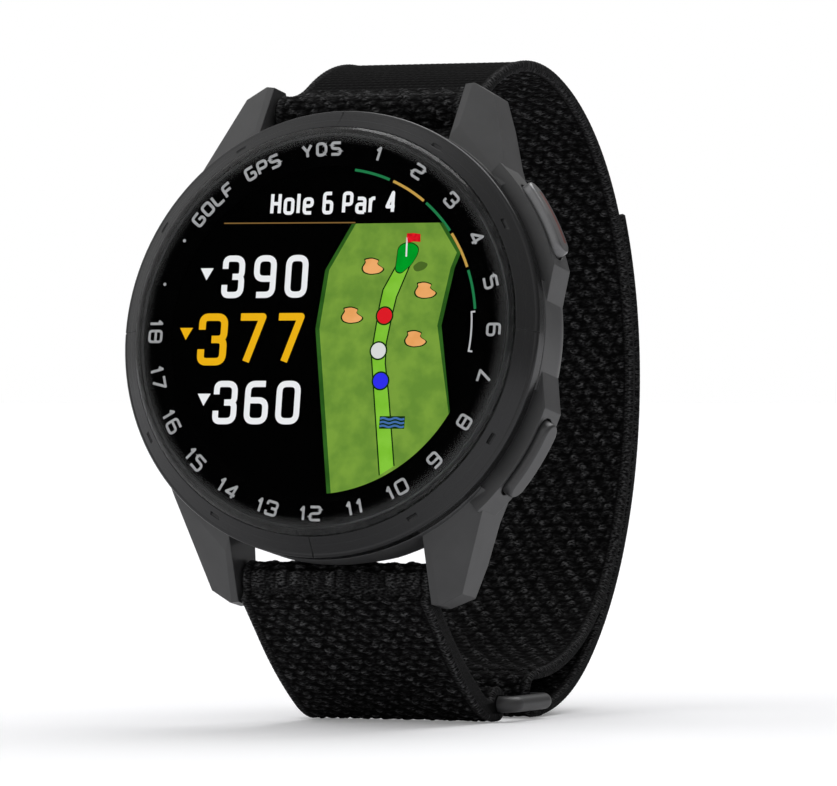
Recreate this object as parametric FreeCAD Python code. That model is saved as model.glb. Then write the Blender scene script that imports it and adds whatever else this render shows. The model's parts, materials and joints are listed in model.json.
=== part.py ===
import FreeCAD, Part
import math
import os

from FreeCAD import Placement, Rotation, Vector

# A golf GPS watch, standing on its closed strap with its face leaning back.
# Lengths are in millimetres and angles in degrees. +Z is up, the face looks towards -Y and 3 o'clock is +X.
# The origin is on the floor, in the middle of the flat where the lower strap folds round the ring.
#
# The head is built in head coordinates: u towards 3 o'clock, v towards 12 o'clock and w the depth behind
# the dial, held as Vector(u, w, v). stand_head() then leans it back and lifts it onto its strap.

# ---- the head's stance ----
LEAN = 9.5
DIAL_Y = -20.0
DIAL_Z = 38.0

# ---- lens, bezel and case ----
CASE_R = 21.6
CAVITY_R = 18.7
CASE_TOP = 3.0
CASE_SHOULDER = 7.0
CASE_BACK = 9.2
LENS_R = 19.7
LENS_PROUD = 0.9
LENS_FLAT_R = 18.0
LENS_SKIRT_R = 19.1
LENS_SKIRT_DEPTH = 1.2
LEDGE_R = 18.9
LEDGE_DEPTH = 1.5
BEZEL_INNER_R = 19.8
BEZEL_INNER_DEPTH = 0.15
BEZEL_SLOPE_R = 21.25
BEZEL_SLOPE_DEPTH = 1.35
BEZEL_RIM_DEPTH = 1.7
BEZEL_LINE_DEG = 0.4
BEZEL_MARK = (1.1, 0.35)
MASK_FRONT = 0.05
MASK_BACK = 0.15
SCREEN_R = 15.9
PANEL_R = 18.4
PANEL_BACK = 1.35

# ---- lugs and spring bars ----
LUG_U = 10.1
LUG_TIP_V = 25.2
LUG_OUTLINE = (
    (LUG_U, 12.0),
    (LUG_U, LUG_TIP_V),
    (11.0, 25.3),
    (13.1, 24.1),
    (16.3, 15.3),
    (17.6, 11.0),
)
LUG_BACK = ((12.0, 9.2), (17.0, 9.2), (21.0, 10.3), (24.2, 10.5), (25.6, 9.2))
LUG_FACETS = ((-6.3, 0.0, 0.526), (-10.0, 0.367, 0.515), (-6.46, 0.252, 0.403))
BAR_V = 22.8
BAR_W = 8.5
BAR_TUBE_R = 0.9
BAR_TUBE_BORE = 0.62
BAR_TUBE_HALF = 8.8
BAR_PIN_R = 0.55
BAR_HOLE_R = 0.6
BAR_HOLE_DEPTH = 1.3
BAR_PIN_REACH = 1.0
RELEASE_TRAVEL = 1.6
LEVER_X = 5.0
LEVER_WIDTH = 1.1

# ---- buttons ----
BUTTON_CLOCK = 60.0
BUTTON_W = 5.4
BUTTON_LENGTH = 8.0
BUTTON_WIDTH = 2.5
BUTTON_TOP_R = 23.8
BUTTON_FOOT_R = 22.05
BUTTON_TRAVEL = 0.6
RECESS_GAP = 0.22
RECESS_R = 21.3
GUARD_R = 22.9
GUARD_FRONT = 3.6
GUARD_BACK = 7.6
GUARD_START = 43.0
GUARD_END = 81.0
STEM_R = 0.6
STEM_BORE = 0.65
STEM_INNER_R = 18.0
SPRING_WELL_R = 1.1
SPRING_WELL_FLOOR = 20.4
SEAL_AT_R = 19.8
SEAL_R = 0.49
SEAL_THICK_R = 0.12
CLIP_RADII = (18.15, 18.45)
CLIP_BORE = 0.4

# ---- inside the head ----
BOARD_R = 17.6
BOARD_FRONT = 2.6
BOARD_BACK = 3.4
PILLAR_RING_R = 14.2
SCREW_HOLE_R = 0.5
BOSS_R = 1.1
BOSS_WEB_R = 0.7  # joins each screw boss to the wall beside it
CHASSIS_FLOOR = (4.7, 5.1)
CHASSIS_WALL = (15.3, 16.2)
CHASSIS_BACK = 7.6
BATTERY = (20.0, 16.0, 2.6)
BATTERY_V = 1.5
COVER_R = 19.65
COVER_FRONT = 8.5
COVER_BACK = 9.5
PLATEAU_BACK = 10.1
WINDOW_R = 6.25
WINDOW_BACK = 10.4
SCREW_RING_R = 17.5
SOCKET_V = -13.8
SOCKET = (7.1, 3.3)

# ---- strap and ring ----
STRAP_HALF = 9.85
PLY = 1.25
FOLD_PLY = 0.95
ROLL_R = 1.95
ROLL_SCOOP_R = 2.3
RING_BAR_R = 0.8
RING_LIFT = 1.74
RING_SPAN = 9.1
RING_HALF = 11.1
RING_CORNER_R = 1.2
LOOP_GAP = 0.08
FOLD_GAP = 0.16
FOLD_TURN_R = 1.16
LOWER_THICK = 2.2
TAB_LENGTH = 24.0
TAB_GAP = 0.1
HOOK_THICK = 0.35

# Each stretch of strap is (length, turn), a turn to the left positive, seen from the 3 o'clock side with
# the watch facing left: the outer face from the upper spring bar over the back, then under the closed tail.
UPPER_BACK = ((5.6, 32.0), (18.4, -46.0), (22.2, -43.5))
UPPER_CLOSED = ((16.3, -27.5), (19.1, -30.5))
UPPER_TO_RING = ((14.6, -35.0), (11.3, -25.5))
TAIL_TO_RING = ((13.1, -22.5), (13.6, -34.0))
LOWER_FRONT = ((6.0, -1.0), (10.76, 13.0), (5.37, 32.0))


# ---- drawing helpers ----
def wire(corners):
    """A closed outline. Each step is a point, or an arc as a pair of points: its middle, then its end."""
    edges = []
    start = corners[0]
    for step in corners[1:]:
        middle, end = step if isinstance(step, tuple) else (None, step)
        bent = middle and (middle - start).cross(end - middle).Length > 1e-6
        curve = Part.Arc(start, middle, end) if bent else Part.LineSegment(start, end)
        edges.append(curve.toShape())
        start = end
    if (start - corners[0]).Length > 1e-6:
        edges.append(Part.LineSegment(start, corners[0]).toShape())
    return Part.Wire(edges)


def turned(outline, start_deg=0.0, sweep_deg=360.0):
    """A solid turned about the head's axis from its (radius, depth) outline, clockwise from 12 o'clock."""
    corners = []
    for step in outline:
        if isinstance(step[0], tuple):
            corners.append(tuple(Vector(0, depth, radius) for radius, depth in step))
        else:
            corners.append(Vector(0, step[1], step[0]))
    solid = Part.Face(wire(corners)).revolve(Vector(), Vector(0, 1, 0), sweep_deg)
    solid.rotate(Vector(), Vector(0, 1, 0), start_deg)
    return solid


def ring(inner, outer, front, back, start_deg=0.0, sweep_deg=360.0):
    """A flat ring or sector about the head's axis."""
    outline = [(inner, front), (outer, front), (outer, back), (inner, back)]
    return turned(outline, start_deg, sweep_deg)


def disc(radius, front, back, u=0.0, v=0.0):
    """A cylinder along the depth."""
    return Part.makeCylinder(radius, back - front, Vector(u, front, v), Vector(0, 1, 0))


def block(u_range, w_range, v_range):
    """A box in head coordinates."""
    (u0, u1), (w0, w1), (v0, v1) = u_range, w_range, v_range
    return Part.makeBox(u1 - u0, w1 - w0, v1 - v0, Vector(u0, w0, v0))


def round_block(size, u, v, front, back, corner):
    """A box with rounded corners, seen from the dial."""
    box = block((u - size[0] / 2, u + size[0] / 2), (front, back), (v - size[1] / 2, v + size[1] / 2))
    edges = [edge for edge in box.Edges if abs(edge.tangentAt(edge.FirstParameter).y) > 0.9]
    return box.makeFillet(corner, edges)


def plan(outline, front, back):
    """A (u, v) outline carried through the depth."""
    face = Part.Face(wire([Vector(u, front, v) for u, v in outline]))
    return face.extrude(Vector(0, back - front, 0))


def side(outline, half_width, centre=0.0):
    """A (y, z) outline carried across the width."""
    face = Part.Face(wire([Vector(centre - half_width, y, z) for y, z in outline]))
    return face.extrude(Vector(2 * half_width, 0, 0))


def clock(radius, degrees):
    """The (u, v) point at a radius, clockwise from 12 o'clock."""
    angle = math.radians(degrees)
    return radius * math.sin(angle), radius * math.cos(angle)


CORNER_POINTS = [clock(SCREW_RING_R, 45 + 90 * corner) for corner in range(4)]
WEB_POINTS = [clock(SCREW_RING_R + 1.0, 45 + 90 * corner) for corner in range(4)]
PILLAR_POINTS = [clock(PILLAR_RING_R, 30 + 120 * pillar) for pillar in range(3)]


def at_clock(solid, degrees):
    """Turn something made at 12 o'clock, its length along +v, to another place on the rim."""
    solid = solid.copy()
    solid.rotate(Vector(), Vector(0, 1, 0), degrees)
    return solid


def mirrored(solid, u=False, v=False):
    """A copy mirrored left to right, top to bottom, or both."""
    if u:
        solid = solid.mirror(Vector(), Vector(1, 0, 0))
    if v:
        solid = solid.mirror(Vector(), Vector(0, 0, 1))
    return solid


def behind_plane(solid, depth, u_slope, v_slope):
    """Keep what lies behind the plane w = depth + u_slope * u + v_slope * v."""
    normal = Vector(u_slope, -1, v_slope)
    cutter = Part.makeBox(80, 80, 30, Vector(-40, -40, 0))
    cutter.Placement = Placement(Vector(0, depth, 0), Rotation(Vector(0, 0, 1), normal))
    return solid.cut(cutter)


def coil(radius, wire_r, low, high, turns):
    """A compression spring along +Z."""
    height = high - low - 2 * wire_r
    helix = Part.makeHelix(height / turns, height, radius)
    section = Part.Wire(Part.makeCircle(wire_r, Vector(radius, 0, 0), Vector(0, 1, 0)))
    spring = Part.Wire(helix.Edges).makePipeShell([section], True, True)
    spring.translate(Vector(0, 0, low + wire_r))
    return spring


def stand_point(v, w):
    """The (y, z) of a point in the head's middle plane, once the head stands on its strap."""
    lean = math.radians(LEAN)
    y = DIAL_Y + v * math.sin(lean) + w * math.cos(lean)
    z = DIAL_Z + v * math.cos(lean) - w * math.sin(lean)
    return y, z


def stand_head(solid):
    """Lean the head back and lift it to its place above the floor."""
    solid = solid.copy()
    solid.rotate(Vector(), Vector(1, 0, 0), -LEAN)
    solid.translate(Vector(0, DIAL_Y, DIAL_Z))
    return solid


def save(name, shape):
    shape.exportStep(f"parts/{name}.step")


def save_head(name, *solids):
    standing = [stand_head(solid) for solid in solids]
    save(name, standing[0] if len(standing) == 1 else Part.makeCompound(standing))


# ---- the case ----
def make_lug():
    """One faceted lug, upper right."""
    lug = plan(LUG_OUTLINE, 2.0, 11.0)
    back_cut = LUG_BACK + ((30.0, 9.2), (30.0, 14.0), (5.0, 14.0), (5.0, 9.2))
    face = Part.Face(wire([Vector(0, w, v) for v, w in back_cut]))
    lug = lug.cut(face.extrude(Vector(30, 0, 0)))
    for facet in LUG_FACETS:
        lug = behind_plane(lug, *facet)
    lug = lug.cut([disc(CASE_R - 0.8, 0.0, 12.0), disc(CASE_R + 0.02, 0.0, CASE_TOP + 0.15)])
    hole = Part.makeCylinder(BAR_HOLE_R, BAR_HOLE_DEPTH, Vector(LUG_U, BAR_W, BAR_V), Vector(1, 0, 0))
    return lug.cut(hole)


def make_guard():
    """The raised frame round the upper button."""
    inner_r = CASE_R - 0.7
    slope_deg = GUARD_END - 8.5

    def point(radius, degrees):
        u, v = clock(radius, degrees)
        return Vector(u, GUARD_FRONT, v)

    outline = wire([
        point(GUARD_R, GUARD_START),
        (point(GUARD_R, (GUARD_START + slope_deg) / 2), point(GUARD_R, slope_deg)),
        point(CASE_R, GUARD_END),
        point(inner_r, GUARD_END),
        (point(inner_r, (GUARD_START + GUARD_END) / 2), point(inner_r, GUARD_START)),
    ])
    return Part.Face(outline).extrude(Vector(0, GUARD_BACK - GUARD_FRONT, 0))


def pill(length, width, low, high):
    """A round-ended bar at 12 o'clock, standing out from low to high radius."""
    half, end = (length - width) / 2, width / 2
    start = Vector(-half, BUTTON_W - end, low)
    corners = [
        start,
        Vector(half, BUTTON_W - end, low),
        (Vector(half + end, BUTTON_W, low), Vector(half, BUTTON_W + end, low)),
        Vector(-half, BUTTON_W + end, low),
        (Vector(-half - end, BUTTON_W, low), start),
    ]
    return Part.Face(wire(corners)).extrude(Vector(0, 0, high - low))


def along_stem(radius, low, high):
    """A cylinder on the button's axis at 12 o'clock."""
    return Part.makeCylinder(radius, high - low, Vector(0, BUTTON_W, low), Vector(0, 0, 1))


def make_case_frame():
    """The moulded case: wall, four lugs, button guards, screw bosses and the shelf for the rear cover."""
    wall = [
        (CAVITY_R, CASE_TOP),
        (CASE_R - 0.15, CASE_TOP),
        (CASE_R, CASE_TOP + 0.15),
        (CASE_R, CASE_SHOULDER),
        ((CASE_R - 0.25, 8.2), (CASE_R - 0.95, CASE_BACK)),
        (COVER_R + 0.1, CASE_BACK),
        (COVER_R + 0.1, COVER_FRONT),
        (CAVITY_R, COVER_FRONT),
    ]
    frame = turned(wall)
    lug = make_lug()
    guard = make_guard()
    additions = [lug, mirrored(lug, u=True), mirrored(lug, v=True), mirrored(lug, u=True, v=True)]
    additions += [guard, mirrored(guard, v=True)]
    into_wall = disc(CAVITY_R + 0.4, 6.0, 9.0)
    for points, radius in ((CORNER_POINTS, BOSS_R), (WEB_POINTS, BOSS_WEB_R)):
        for u, v in points:
            additions.append(disc(radius, 6.2, COVER_FRONT, u, v).common(into_wall))
    frame = frame.fuse(additions).removeSplitter()

    cuts = [ring(18.95, 19.35, COVER_FRONT - 0.3, COVER_FRONT + 0.1)]
    channel = ring(CASE_R - 0.5, CASE_R + 3, CASE_TOP + 0.1, GUARD_FRONT, 48.0, 28.0)
    cuts += [channel, mirrored(channel, v=True)]
    scoop = Part.makeCylinder(ROLL_SCOOP_R, 2 * LUG_U, Vector(-LUG_U, BAR_W, BAR_V), Vector(1, 0, 0))
    cuts += [scoop, mirrored(scoop, v=True)]
    for u, v in CORNER_POINTS:
        cuts.append(disc(SCREW_HOLE_R, 6.6, COVER_FRONT + 0.1, u, v))
    for degrees in (BUTTON_CLOCK, 180 - BUTTON_CLOCK):
        recess = pill(BUTTON_LENGTH + 2 * RECESS_GAP, BUTTON_WIDTH + 2 * RECESS_GAP, RECESS_R, 26)
        well = along_stem(SPRING_WELL_R, SPRING_WELL_FLOOR, RECESS_R + 0.1)
        bore = along_stem(STEM_BORE, 17.0, RECESS_R)
        cuts += [at_clock(tool, degrees) for tool in (recess, well, bore)]
    return frame.cut(cuts)


def make_bezel():
    """The metal bezel, with a line across it each quarter and short marks between."""
    outline = [
        (BEZEL_INNER_R, BEZEL_INNER_DEPTH),
        (BEZEL_SLOPE_R, BEZEL_SLOPE_DEPTH),
        ((21.52, 1.5), (CASE_R, BEZEL_RIM_DEPTH)),
        (CASE_R, CASE_TOP - 0.1),
        (CASE_R - 0.1, CASE_TOP),
        (LEDGE_R, CASE_TOP),
        (LEDGE_R, LEDGE_DEPTH),
        (BEZEL_INNER_R, LEDGE_DEPTH),
    ]
    bezel = turned(outline)
    slope = [(19.7, -0.5), (19.7, 0.18), (BEZEL_SLOPE_R, 1.47), (21.8, 1.93), (21.8, -0.5)]
    length, width = BEZEL_MARK
    mark = block((-length / 2, length / 2), (-0.5, 0.95), (20.5 - width / 2, 20.5 + width / 2))
    cuts = []
    for hour in range(12):
        if hour % 3 == 0:
            cuts.append(turned(slope, 30 * hour - BEZEL_LINE_DEG / 2, BEZEL_LINE_DEG))
        else:
            cuts.append(at_clock(mark, 30 * hour))
    return bezel.cut(cuts)


def make_lens():
    """The cover glass, flat in the middle and rolled down at its edge, on a skirt that stands in the bezel."""
    outline = [
        (0, -LENS_PROUD),
        (LENS_FLAT_R, -LENS_PROUD),
        ((19.1, -0.66), (LENS_R, -0.05)),
        (LENS_R, LENS_SKIRT_DEPTH),
        (LENS_SKIRT_R, LENS_SKIRT_DEPTH),
        (LENS_SKIRT_R, 0),
        (0, 0),
    ]
    return turned(outline)


# ---- inside the head ----
def make_display_flex():
    """The ribbon from the back of the panel to the board."""
    tail = block((-4, 4), (PANEL_BACK, PANEL_BACK + 0.15), (-11.2, -7))
    drop = block((-4, 4), (PANEL_BACK + 0.15, BOARD_FRONT), (-11.2, -11.05))
    return tail.fuse(drop).removeSplitter()


def make_main_board():
    """The circuit board, with its chips and its three screw holes."""
    board = disc(BOARD_R, BOARD_FRONT, BOARD_BACK)
    chips = [
        block((-13, -9), (2.2, BOARD_FRONT), (-3, 2)),
        block((8, 12), (2.1, BOARD_FRONT), (3, 8)),
        block((6, 9), (2.2, BOARD_FRONT), (-8, -5)),
        block((-5, 5), (2.1, BOARD_FRONT), (6, 11)),
    ]
    board = board.fuse(chips).removeSplitter()
    return board.cut([disc(SCREW_HOLE_R, 2.0, 4.0, u, v) for u, v in PILLAR_POINTS])


def make_shield():
    """The folded metal can over the receiver."""
    can = block((-7, 7), (BOARD_BACK, 4.6), (-5, 6))
    return can.cut(block((-6.8, 6.8), (BOARD_BACK - 1, 4.4), (-4.8, 5.8)))


def make_screw(head_r, head_top, seat, end, u, v):
    """A pan-head screw with a cross slot, driven along the depth from head_top to end."""
    sign = 1 if end > seat else -1
    head = disc(head_r, min(head_top, seat), max(head_top, seat), u, v)
    shank = disc(SCREW_HOLE_R, min(seat, end), max(seat, end), u, v)
    slot_w = sorted((head_top, head_top + sign * 0.2))
    slots = [
        block((u - 0.5 * head_r, u + 0.5 * head_r), slot_w, (v - 0.12, v + 0.12)),
        block((u - 0.12, u + 0.12), slot_w, (v - 0.5 * head_r, v + 0.5 * head_r)),
    ]
    return head.fuse(shank).cut(slots)


def make_board_screws():
    return [make_screw(0.85, 2.15, BOARD_FRONT, 4.6, u, v) for u, v in PILLAR_POINTS]


def make_chassis():
    """The inner tray: a floor that carries the battery and motor, a wall, and the board's three pillars."""
    floor_front, floor_back = CHASSIS_FLOOR
    tray = disc(CHASSIS_WALL[1], floor_front, floor_back)
    wall = ring(CHASSIS_WALL[0], CHASSIS_WALL[1], floor_back, CHASSIS_BACK)
    pillars = [disc(1.1, BOARD_BACK, floor_front, u, v) for u, v in PILLAR_POINTS]
    tray = tray.fuse([wall] + pillars).removeSplitter()
    cuts = [disc(SCREW_HOLE_R, BOARD_BACK - 0.1, 4.6, u, v) for u, v in PILLAR_POINTS]
    cuts.append(block((-1.8, 1.8), (4, 6), (9.3, 10.1)))
    cuts.append(block((-13.0, -12.1), (4, 8), (-1.8, 1.8)))
    return tray.cut(cuts)


def make_battery_lead():
    """The ribbon from the cell's edge down to the board."""
    edge = BATTERY_V + BATTERY[1] / 2
    return block((-1.5, 1.5), (BOARD_BACK, 6.6), (edge, edge + 0.25))


def make_motor():
    """The coin vibration motor with its raised centre."""
    coin = disc(3.9, CHASSIS_FLOOR[1], 7.3, 0, -10.8)
    return coin.fuse(disc(1.2, 7.3, 7.5, 0, -10.8)).removeSplitter()


def make_sensor_board():
    """The heart-rate board, with its ring of emitters round the detector."""
    board = disc(7.0, 8.3, 8.85)
    parts = [block((-1.2, 1.2), (8.85, 9.1), (-1.2, 1.2))]
    for turn in range(4):
        u, v = clock(4.2, 90 * turn)
        parts.append(block((u - 0.6, u + 0.6), (8.85, 9.1), (v - 0.6, v + 0.6)))
    return board.fuse(parts).removeSplitter()


def make_sensor_flex():
    """The ribbon from the sensor board round the cell to the main board."""
    run = block((-12.6, -5), (8.1, 8.3), (-1.5, 1.5))
    drop = block((-12.6, -12.4), (BOARD_BACK, 8.1), (-1.5, 1.5))
    return run.fuse(drop).removeSplitter()


def make_rear_cover():
    """The back, with its raised centre round the sensor window, four screws and the charging socket."""
    outline = [
        (WINDOW_R + 0.05, COVER_BACK),
        (7.4, COVER_BACK),
        (7.4, COVER_FRONT),
        (COVER_R, COVER_FRONT),
        (COVER_R, 9.2),
        (COVER_R - 0.3, COVER_BACK),
        (12.0, COVER_BACK),
        ((10.2, 9.75), (9.0, PLATEAU_BACK)),
        (WINDOW_R + 0.05, PLATEAU_BACK),
    ]
    cover = turned(outline)
    cuts = []
    for u, v in CORNER_POINTS:
        cuts += [disc(SCREW_HOLE_R, 8.0, 10.0, u, v), disc(1.0, 9.0, 10.0, u, v)]
    half_u, half_v = SOCKET[0] / 2, SOCKET[1] / 2
    cuts.append(block((-half_u, half_u), (8.0, 11.0), (SOCKET_V - half_v, SOCKET_V + half_v)))
    return cover.cut(cuts)


def make_rear_screws():
    return [make_screw(1.0, 9.45, 9.0, 6.7, u, v) for u, v in CORNER_POINTS]


def make_sensor_window():
    """The clear window that rests on the wrist."""
    outline = [
        (0, 9.2),
        (7.3, 9.2),
        (7.3, COVER_BACK),
        (WINDOW_R, COVER_BACK),
        (WINDOW_R, WINDOW_BACK - 0.2),
        (WINDOW_R - 0.35, WINDOW_BACK),
        (0, WINDOW_BACK),
    ]
    return turned(outline)


def make_socket():
    """The charging socket's insulator."""
    half_u, half_v = SOCKET[0] / 2, SOCKET[1] / 2
    body = block((-half_u, half_u), (8.0, 9.4), (SOCKET_V - half_v, SOCKET_V + half_v))
    half_u -= 0.4
    half_v -= 0.4
    return body.cut(block((-half_u, half_u), (8.6, 10), (SOCKET_V - half_v, SOCKET_V + half_v)))


def make_socket_pins():
    return [disc(0.3, 8.6, 9.2, 1.5 * (pin - 1.5), SOCKET_V) for pin in range(4)]


# ---- the buttons, made at 12 o'clock ----
def make_button_cap(accent):
    """The pressed face, crowned along the rim. The upper one has a groove for its accent."""
    cap = pill(BUTTON_LENGTH, BUTTON_WIDTH, BUTTON_FOOT_R, BUTTON_TOP_R + 0.5)
    crown = ring(0, BUTTON_TOP_R, 0, 10)
    cap = cap.common(crown)
    edges = [edge for edge in cap.Edges if edge.BoundBox.ZMin > BUTTON_FOOT_R + 0.8]
    cap = cap.makeFillet(0.3, edges)
    cap = cap.cut(along_stem(STEM_R, BUTTON_FOOT_R - 0.1, BUTTON_FOOT_R + 0.6))
    if accent:
        cap = cap.cut(accent_band())
    return cap


def accent_band():
    """The stripe let into the rear half of the upper button's face."""
    half = 2.9
    return block((-half, half), (BUTTON_W + 0.2, BUTTON_W + 0.85), (BUTTON_TOP_R - 0.55, BUTTON_TOP_R + 1))


def make_button_accent():
    return accent_band().common(ring(0, BUTTON_TOP_R - 0.03, 0, 10))


def make_button_stem():
    """The pin through the wall, with grooves for its seal and clip."""
    stem = along_stem(STEM_R, STEM_INNER_R, BUTTON_FOOT_R + 0.6)
    seal_low, seal_high = SEAL_AT_R - SEAL_THICK_R, SEAL_AT_R + SEAL_THICK_R
    seal_groove = along_stem(STEM_R + 0.1, seal_low, seal_high)
    seal_groove = seal_groove.cut(along_stem(SEAL_R - SEAL_THICK_R, 19, 21))
    clip_groove = along_stem(STEM_R + 0.1, *CLIP_RADII).cut(along_stem(CLIP_BORE, 18, 19))
    return stem.cut([seal_groove, clip_groove])


def make_button_seal():
    """The O-ring in the stem's groove."""
    return Part.makeTorus(SEAL_R, SEAL_THICK_R, Vector(0, BUTTON_W, SEAL_AT_R), Vector(0, 0, 1))


def make_button_clip():
    """The E-clip that keeps the button in."""
    clip = along_stem(1.2, *CLIP_RADII).cut(along_stem(CLIP_BORE, 18, 19))
    return clip.cut(block((-0.35, 0.35), (BUTTON_W, BUTTON_W + 2), (18, 19)))


def make_button_spring():
    spring = coil(0.85, 0.11, SPRING_WELL_FLOOR, BUTTON_FOOT_R, 3)
    spring.translate(Vector(0, BUTTON_W, 0))
    return spring


def make_switch():
    """The dome switch that the stem pushes."""
    base = block((-1.6, 1.6), (BUTTON_W - 1.1, BUTTON_W + 0.6), (16.3, 17.05))
    dome = along_stem(0.7, 17.05, STEM_INNER_R - BUTTON_TRAVEL - 0.05)
    return base.fuse(dome).removeSplitter()


# ---- the spring bars, along X about their own axis ----
def bar_cylinder(radius, start, end):
    return Part.makeCylinder(radius, end - start, Vector(start, 0, 0), Vector(1, 0, 0))


def make_bar_tube():
    """The spring bar's tube, slotted for the release lever."""
    tube = bar_cylinder(BAR_TUBE_R, -BAR_TUBE_HALF, BAR_TUBE_HALF)
    tube = tube.cut(bar_cylinder(BAR_TUBE_BORE, -BAR_TUBE_HALF + 2.5, BAR_TUBE_HALF + 1))
    tube = tube.cut(bar_cylinder(BAR_PIN_R, -BAR_TUBE_HALF - 1, -BAR_TUBE_HALF + 2.5))
    slot_start = LEVER_X - RELEASE_TRAVEL - 0.1
    slot_length = LEVER_WIDTH + RELEASE_TRAVEL + 0.2
    return tube.cut(Part.makeBox(slot_length, 2, 0.9, Vector(slot_start, 0, -0.45)))


def make_bar_fixed_pin():
    return bar_cylinder(BAR_PIN_R, -LUG_U - BAR_PIN_REACH, -BAR_TUBE_HALF + 2.5)


def make_bar_release_pin():
    """The sliding pin and its thumb lever."""
    pin = bar_cylinder(BAR_PIN_R, 1.5, LUG_U + BAR_PIN_REACH)
    lever = Part.makeBox(LEVER_WIDTH, 2.3, 0.8, Vector(LEVER_X, 0, -0.4))
    return pin.fuse(lever).removeSplitter()


def make_bar_spring():
    """The spring inside the tube, between its closed end and the sliding pin."""
    spring = coil(0.42, 0.11, 0.0, 1.5 + BAR_TUBE_HALF - 2.5, 8)
    spring.rotate(Vector(), Vector(0, 1, 0), 90)
    spring.translate(Vector(-BAR_TUBE_HALF + 2.5, 0, 0))
    return spring


# ---- the strap ----
def follow(start, heading, stretches):
    """The points where each stretch starts, bends and ends, as (y, z, heading)."""
    y, z = start
    stations = [(y, z, heading)]
    for length, turn in stretches:
        for _ in range(2):
            half_turn = turn / 2
            middle = math.radians(heading + half_turn / 2)
            bend = math.radians(half_turn / 2)
            chord = length / 2 * (math.sin(bend) / bend if bend else 1.0)
            y += chord * math.cos(middle)
            z += chord * math.sin(middle)
            heading += half_turn
            stations.append((y, z, heading))
    return stations


def beside(station, distance):
    """The point this far to the left of a station."""
    y, z, heading = station
    angle = math.radians(heading)
    return Vector(0, y - distance * math.sin(angle), z + distance * math.cos(angle))


def ribbon(start, heading, stretches, left, right, half_width=STRAP_HALF):
    """A strip of fabric between two distances to the left of a line made of arcs."""
    stations = follow(start, heading, stretches)
    outer = [beside(station, left) for station in stations]
    inner = [beside(station, right) for station in reversed(stations)]
    bends = range(1, len(stations), 2)
    corners = [outer[0]] + [(outer[bend], outer[bend + 1]) for bend in bends]
    corners += [inner[0]] + [(inner[bend], inner[bend + 1]) for bend in bends]
    solid = Part.Face(wire(corners)).extrude(Vector(2 * half_width, 0, 0))
    solid.translate(Vector(-half_width, 0, 0))
    return solid


def split(stretches, length):
    """Part a line of stretches at a length along it."""
    before, after = [], []
    for stretch, turn in stretches:
        share = min(max(length / stretch, 0.0), 1.0)
        if share > 0:
            before.append((stretch * share, turn * share))
        if share < 1:
            after.append((stretch * (1 - share), turn * (1 - share)))
        length -= stretch
    return tuple(before), tuple(after)


def rod(centre, radius, half_width=STRAP_HALF):
    """A cylinder across the width."""
    y, z = centre
    return Part.makeCylinder(radius, 2 * half_width, Vector(-half_width, y, z), Vector(1, 0, 0))


def above_floor(solid):
    """The fabric is pressed flat where it rests."""
    return solid.cut(Part.makeBox(60, 140, 10, Vector(-30, -70, -10)))


UPPER_BAR = stand_point(BAR_V, BAR_W)
LOWER_BAR = stand_point(-BAR_V, BAR_W)
RING_FRONT = (0.0, RING_LIFT)
UPPER_START = (UPPER_BAR[0] + 0.1, UPPER_BAR[1] + ROLL_R)
UPPER_HEADING = -4.0
LOWER_START = (LOWER_BAR[0] - 2.4, LOWER_BAR[1] - 1.85)
LOWER_HEADING = -44.0
TAIL_END = follow(UPPER_START, UPPER_HEADING, UPPER_BACK)[-1]
PARTING = follow(UPPER_START, UPPER_HEADING, UPPER_BACK + UPPER_CLOSED)[-1]
RING_ENTRY = follow(PARTING[:2], PARTING[2], UPPER_TO_RING)[-1]
TAB_PATH, TAIL_PATH = split(UPPER_CLOSED, TAB_LENGTH)
TAB_HINGE = follow(TAIL_END[:2], TAIL_END[2], TAB_PATH)[-1]


def release_notch(bar, low, high):
    """The gap in a roll that lets a thumbnail reach the release lever."""
    y, z = bar
    start = LEVER_X - RELEASE_TRAVEL - 0.3
    return Part.makeBox(LEVER_WIDTH + RELEASE_TRAVEL + 0.6, 3.0, high - low, Vector(start, y, z + low))


def make_upper_strap():
    """The long strap's inner ply: rolled round the upper spring bar, over the back and down to the ring."""
    body = ribbon(UPPER_START, UPPER_HEADING, UPPER_BACK + UPPER_CLOSED + UPPER_TO_RING, 0.0, -PLY)
    strap = body.fuse(rod(UPPER_BAR, ROLL_R)).removeSplitter()
    return strap.cut([rod(UPPER_BAR, BAR_TUBE_R), release_notch(UPPER_BAR, -2.5, 0.6)])


def make_strap_fold():
    """The turn of the long strap through the ring and under its rear bar."""
    y, z, heading = RING_ENTRY
    wrap_r = RING_BAR_R + FOLD_GAP
    turn_r = FOLD_TURN_R
    run_in = y - (RING_SPAN - wrap_r) - turn_r
    drop = z - turn_r - RING_LIFT
    quarter = math.pi / 2
    path = ((run_in, 0.0), (turn_r * quarter, 90.0), (drop, 0.0), (wrap_r * quarter, 90.0), (1.5, 5.0))
    return above_floor(ribbon((y, z), heading, path, 0.0, -FOLD_PLY))


def make_strap_tail():
    """The long strap's outer ply, closed against the inner ply and running back under the ring's rear bar."""
    return above_floor(ribbon(TAB_HINGE[:2], TAB_HINGE[2], TAIL_PATH + TAIL_TO_RING, PLY, 0.0))


def make_tail_tab():
    """The free end of the tail, which is peeled back to open the strap."""
    path, _ = split(TAB_PATH, TAB_LENGTH - TAB_GAP)
    return ribbon(TAIL_END[:2], TAIL_END[2], path, PLY, TAB_GAP + HOOK_THICK)


def make_hook_patch():
    """The hook fastener sewn inside the tail's free end."""
    path, _ = split(TAB_PATH, TAB_LENGTH - 2.0)
    return ribbon(TAIL_END[:2], TAIL_END[2], path, TAB_GAP + HOOK_THICK, TAB_GAP, STRAP_HALF - 1.2)


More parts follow.
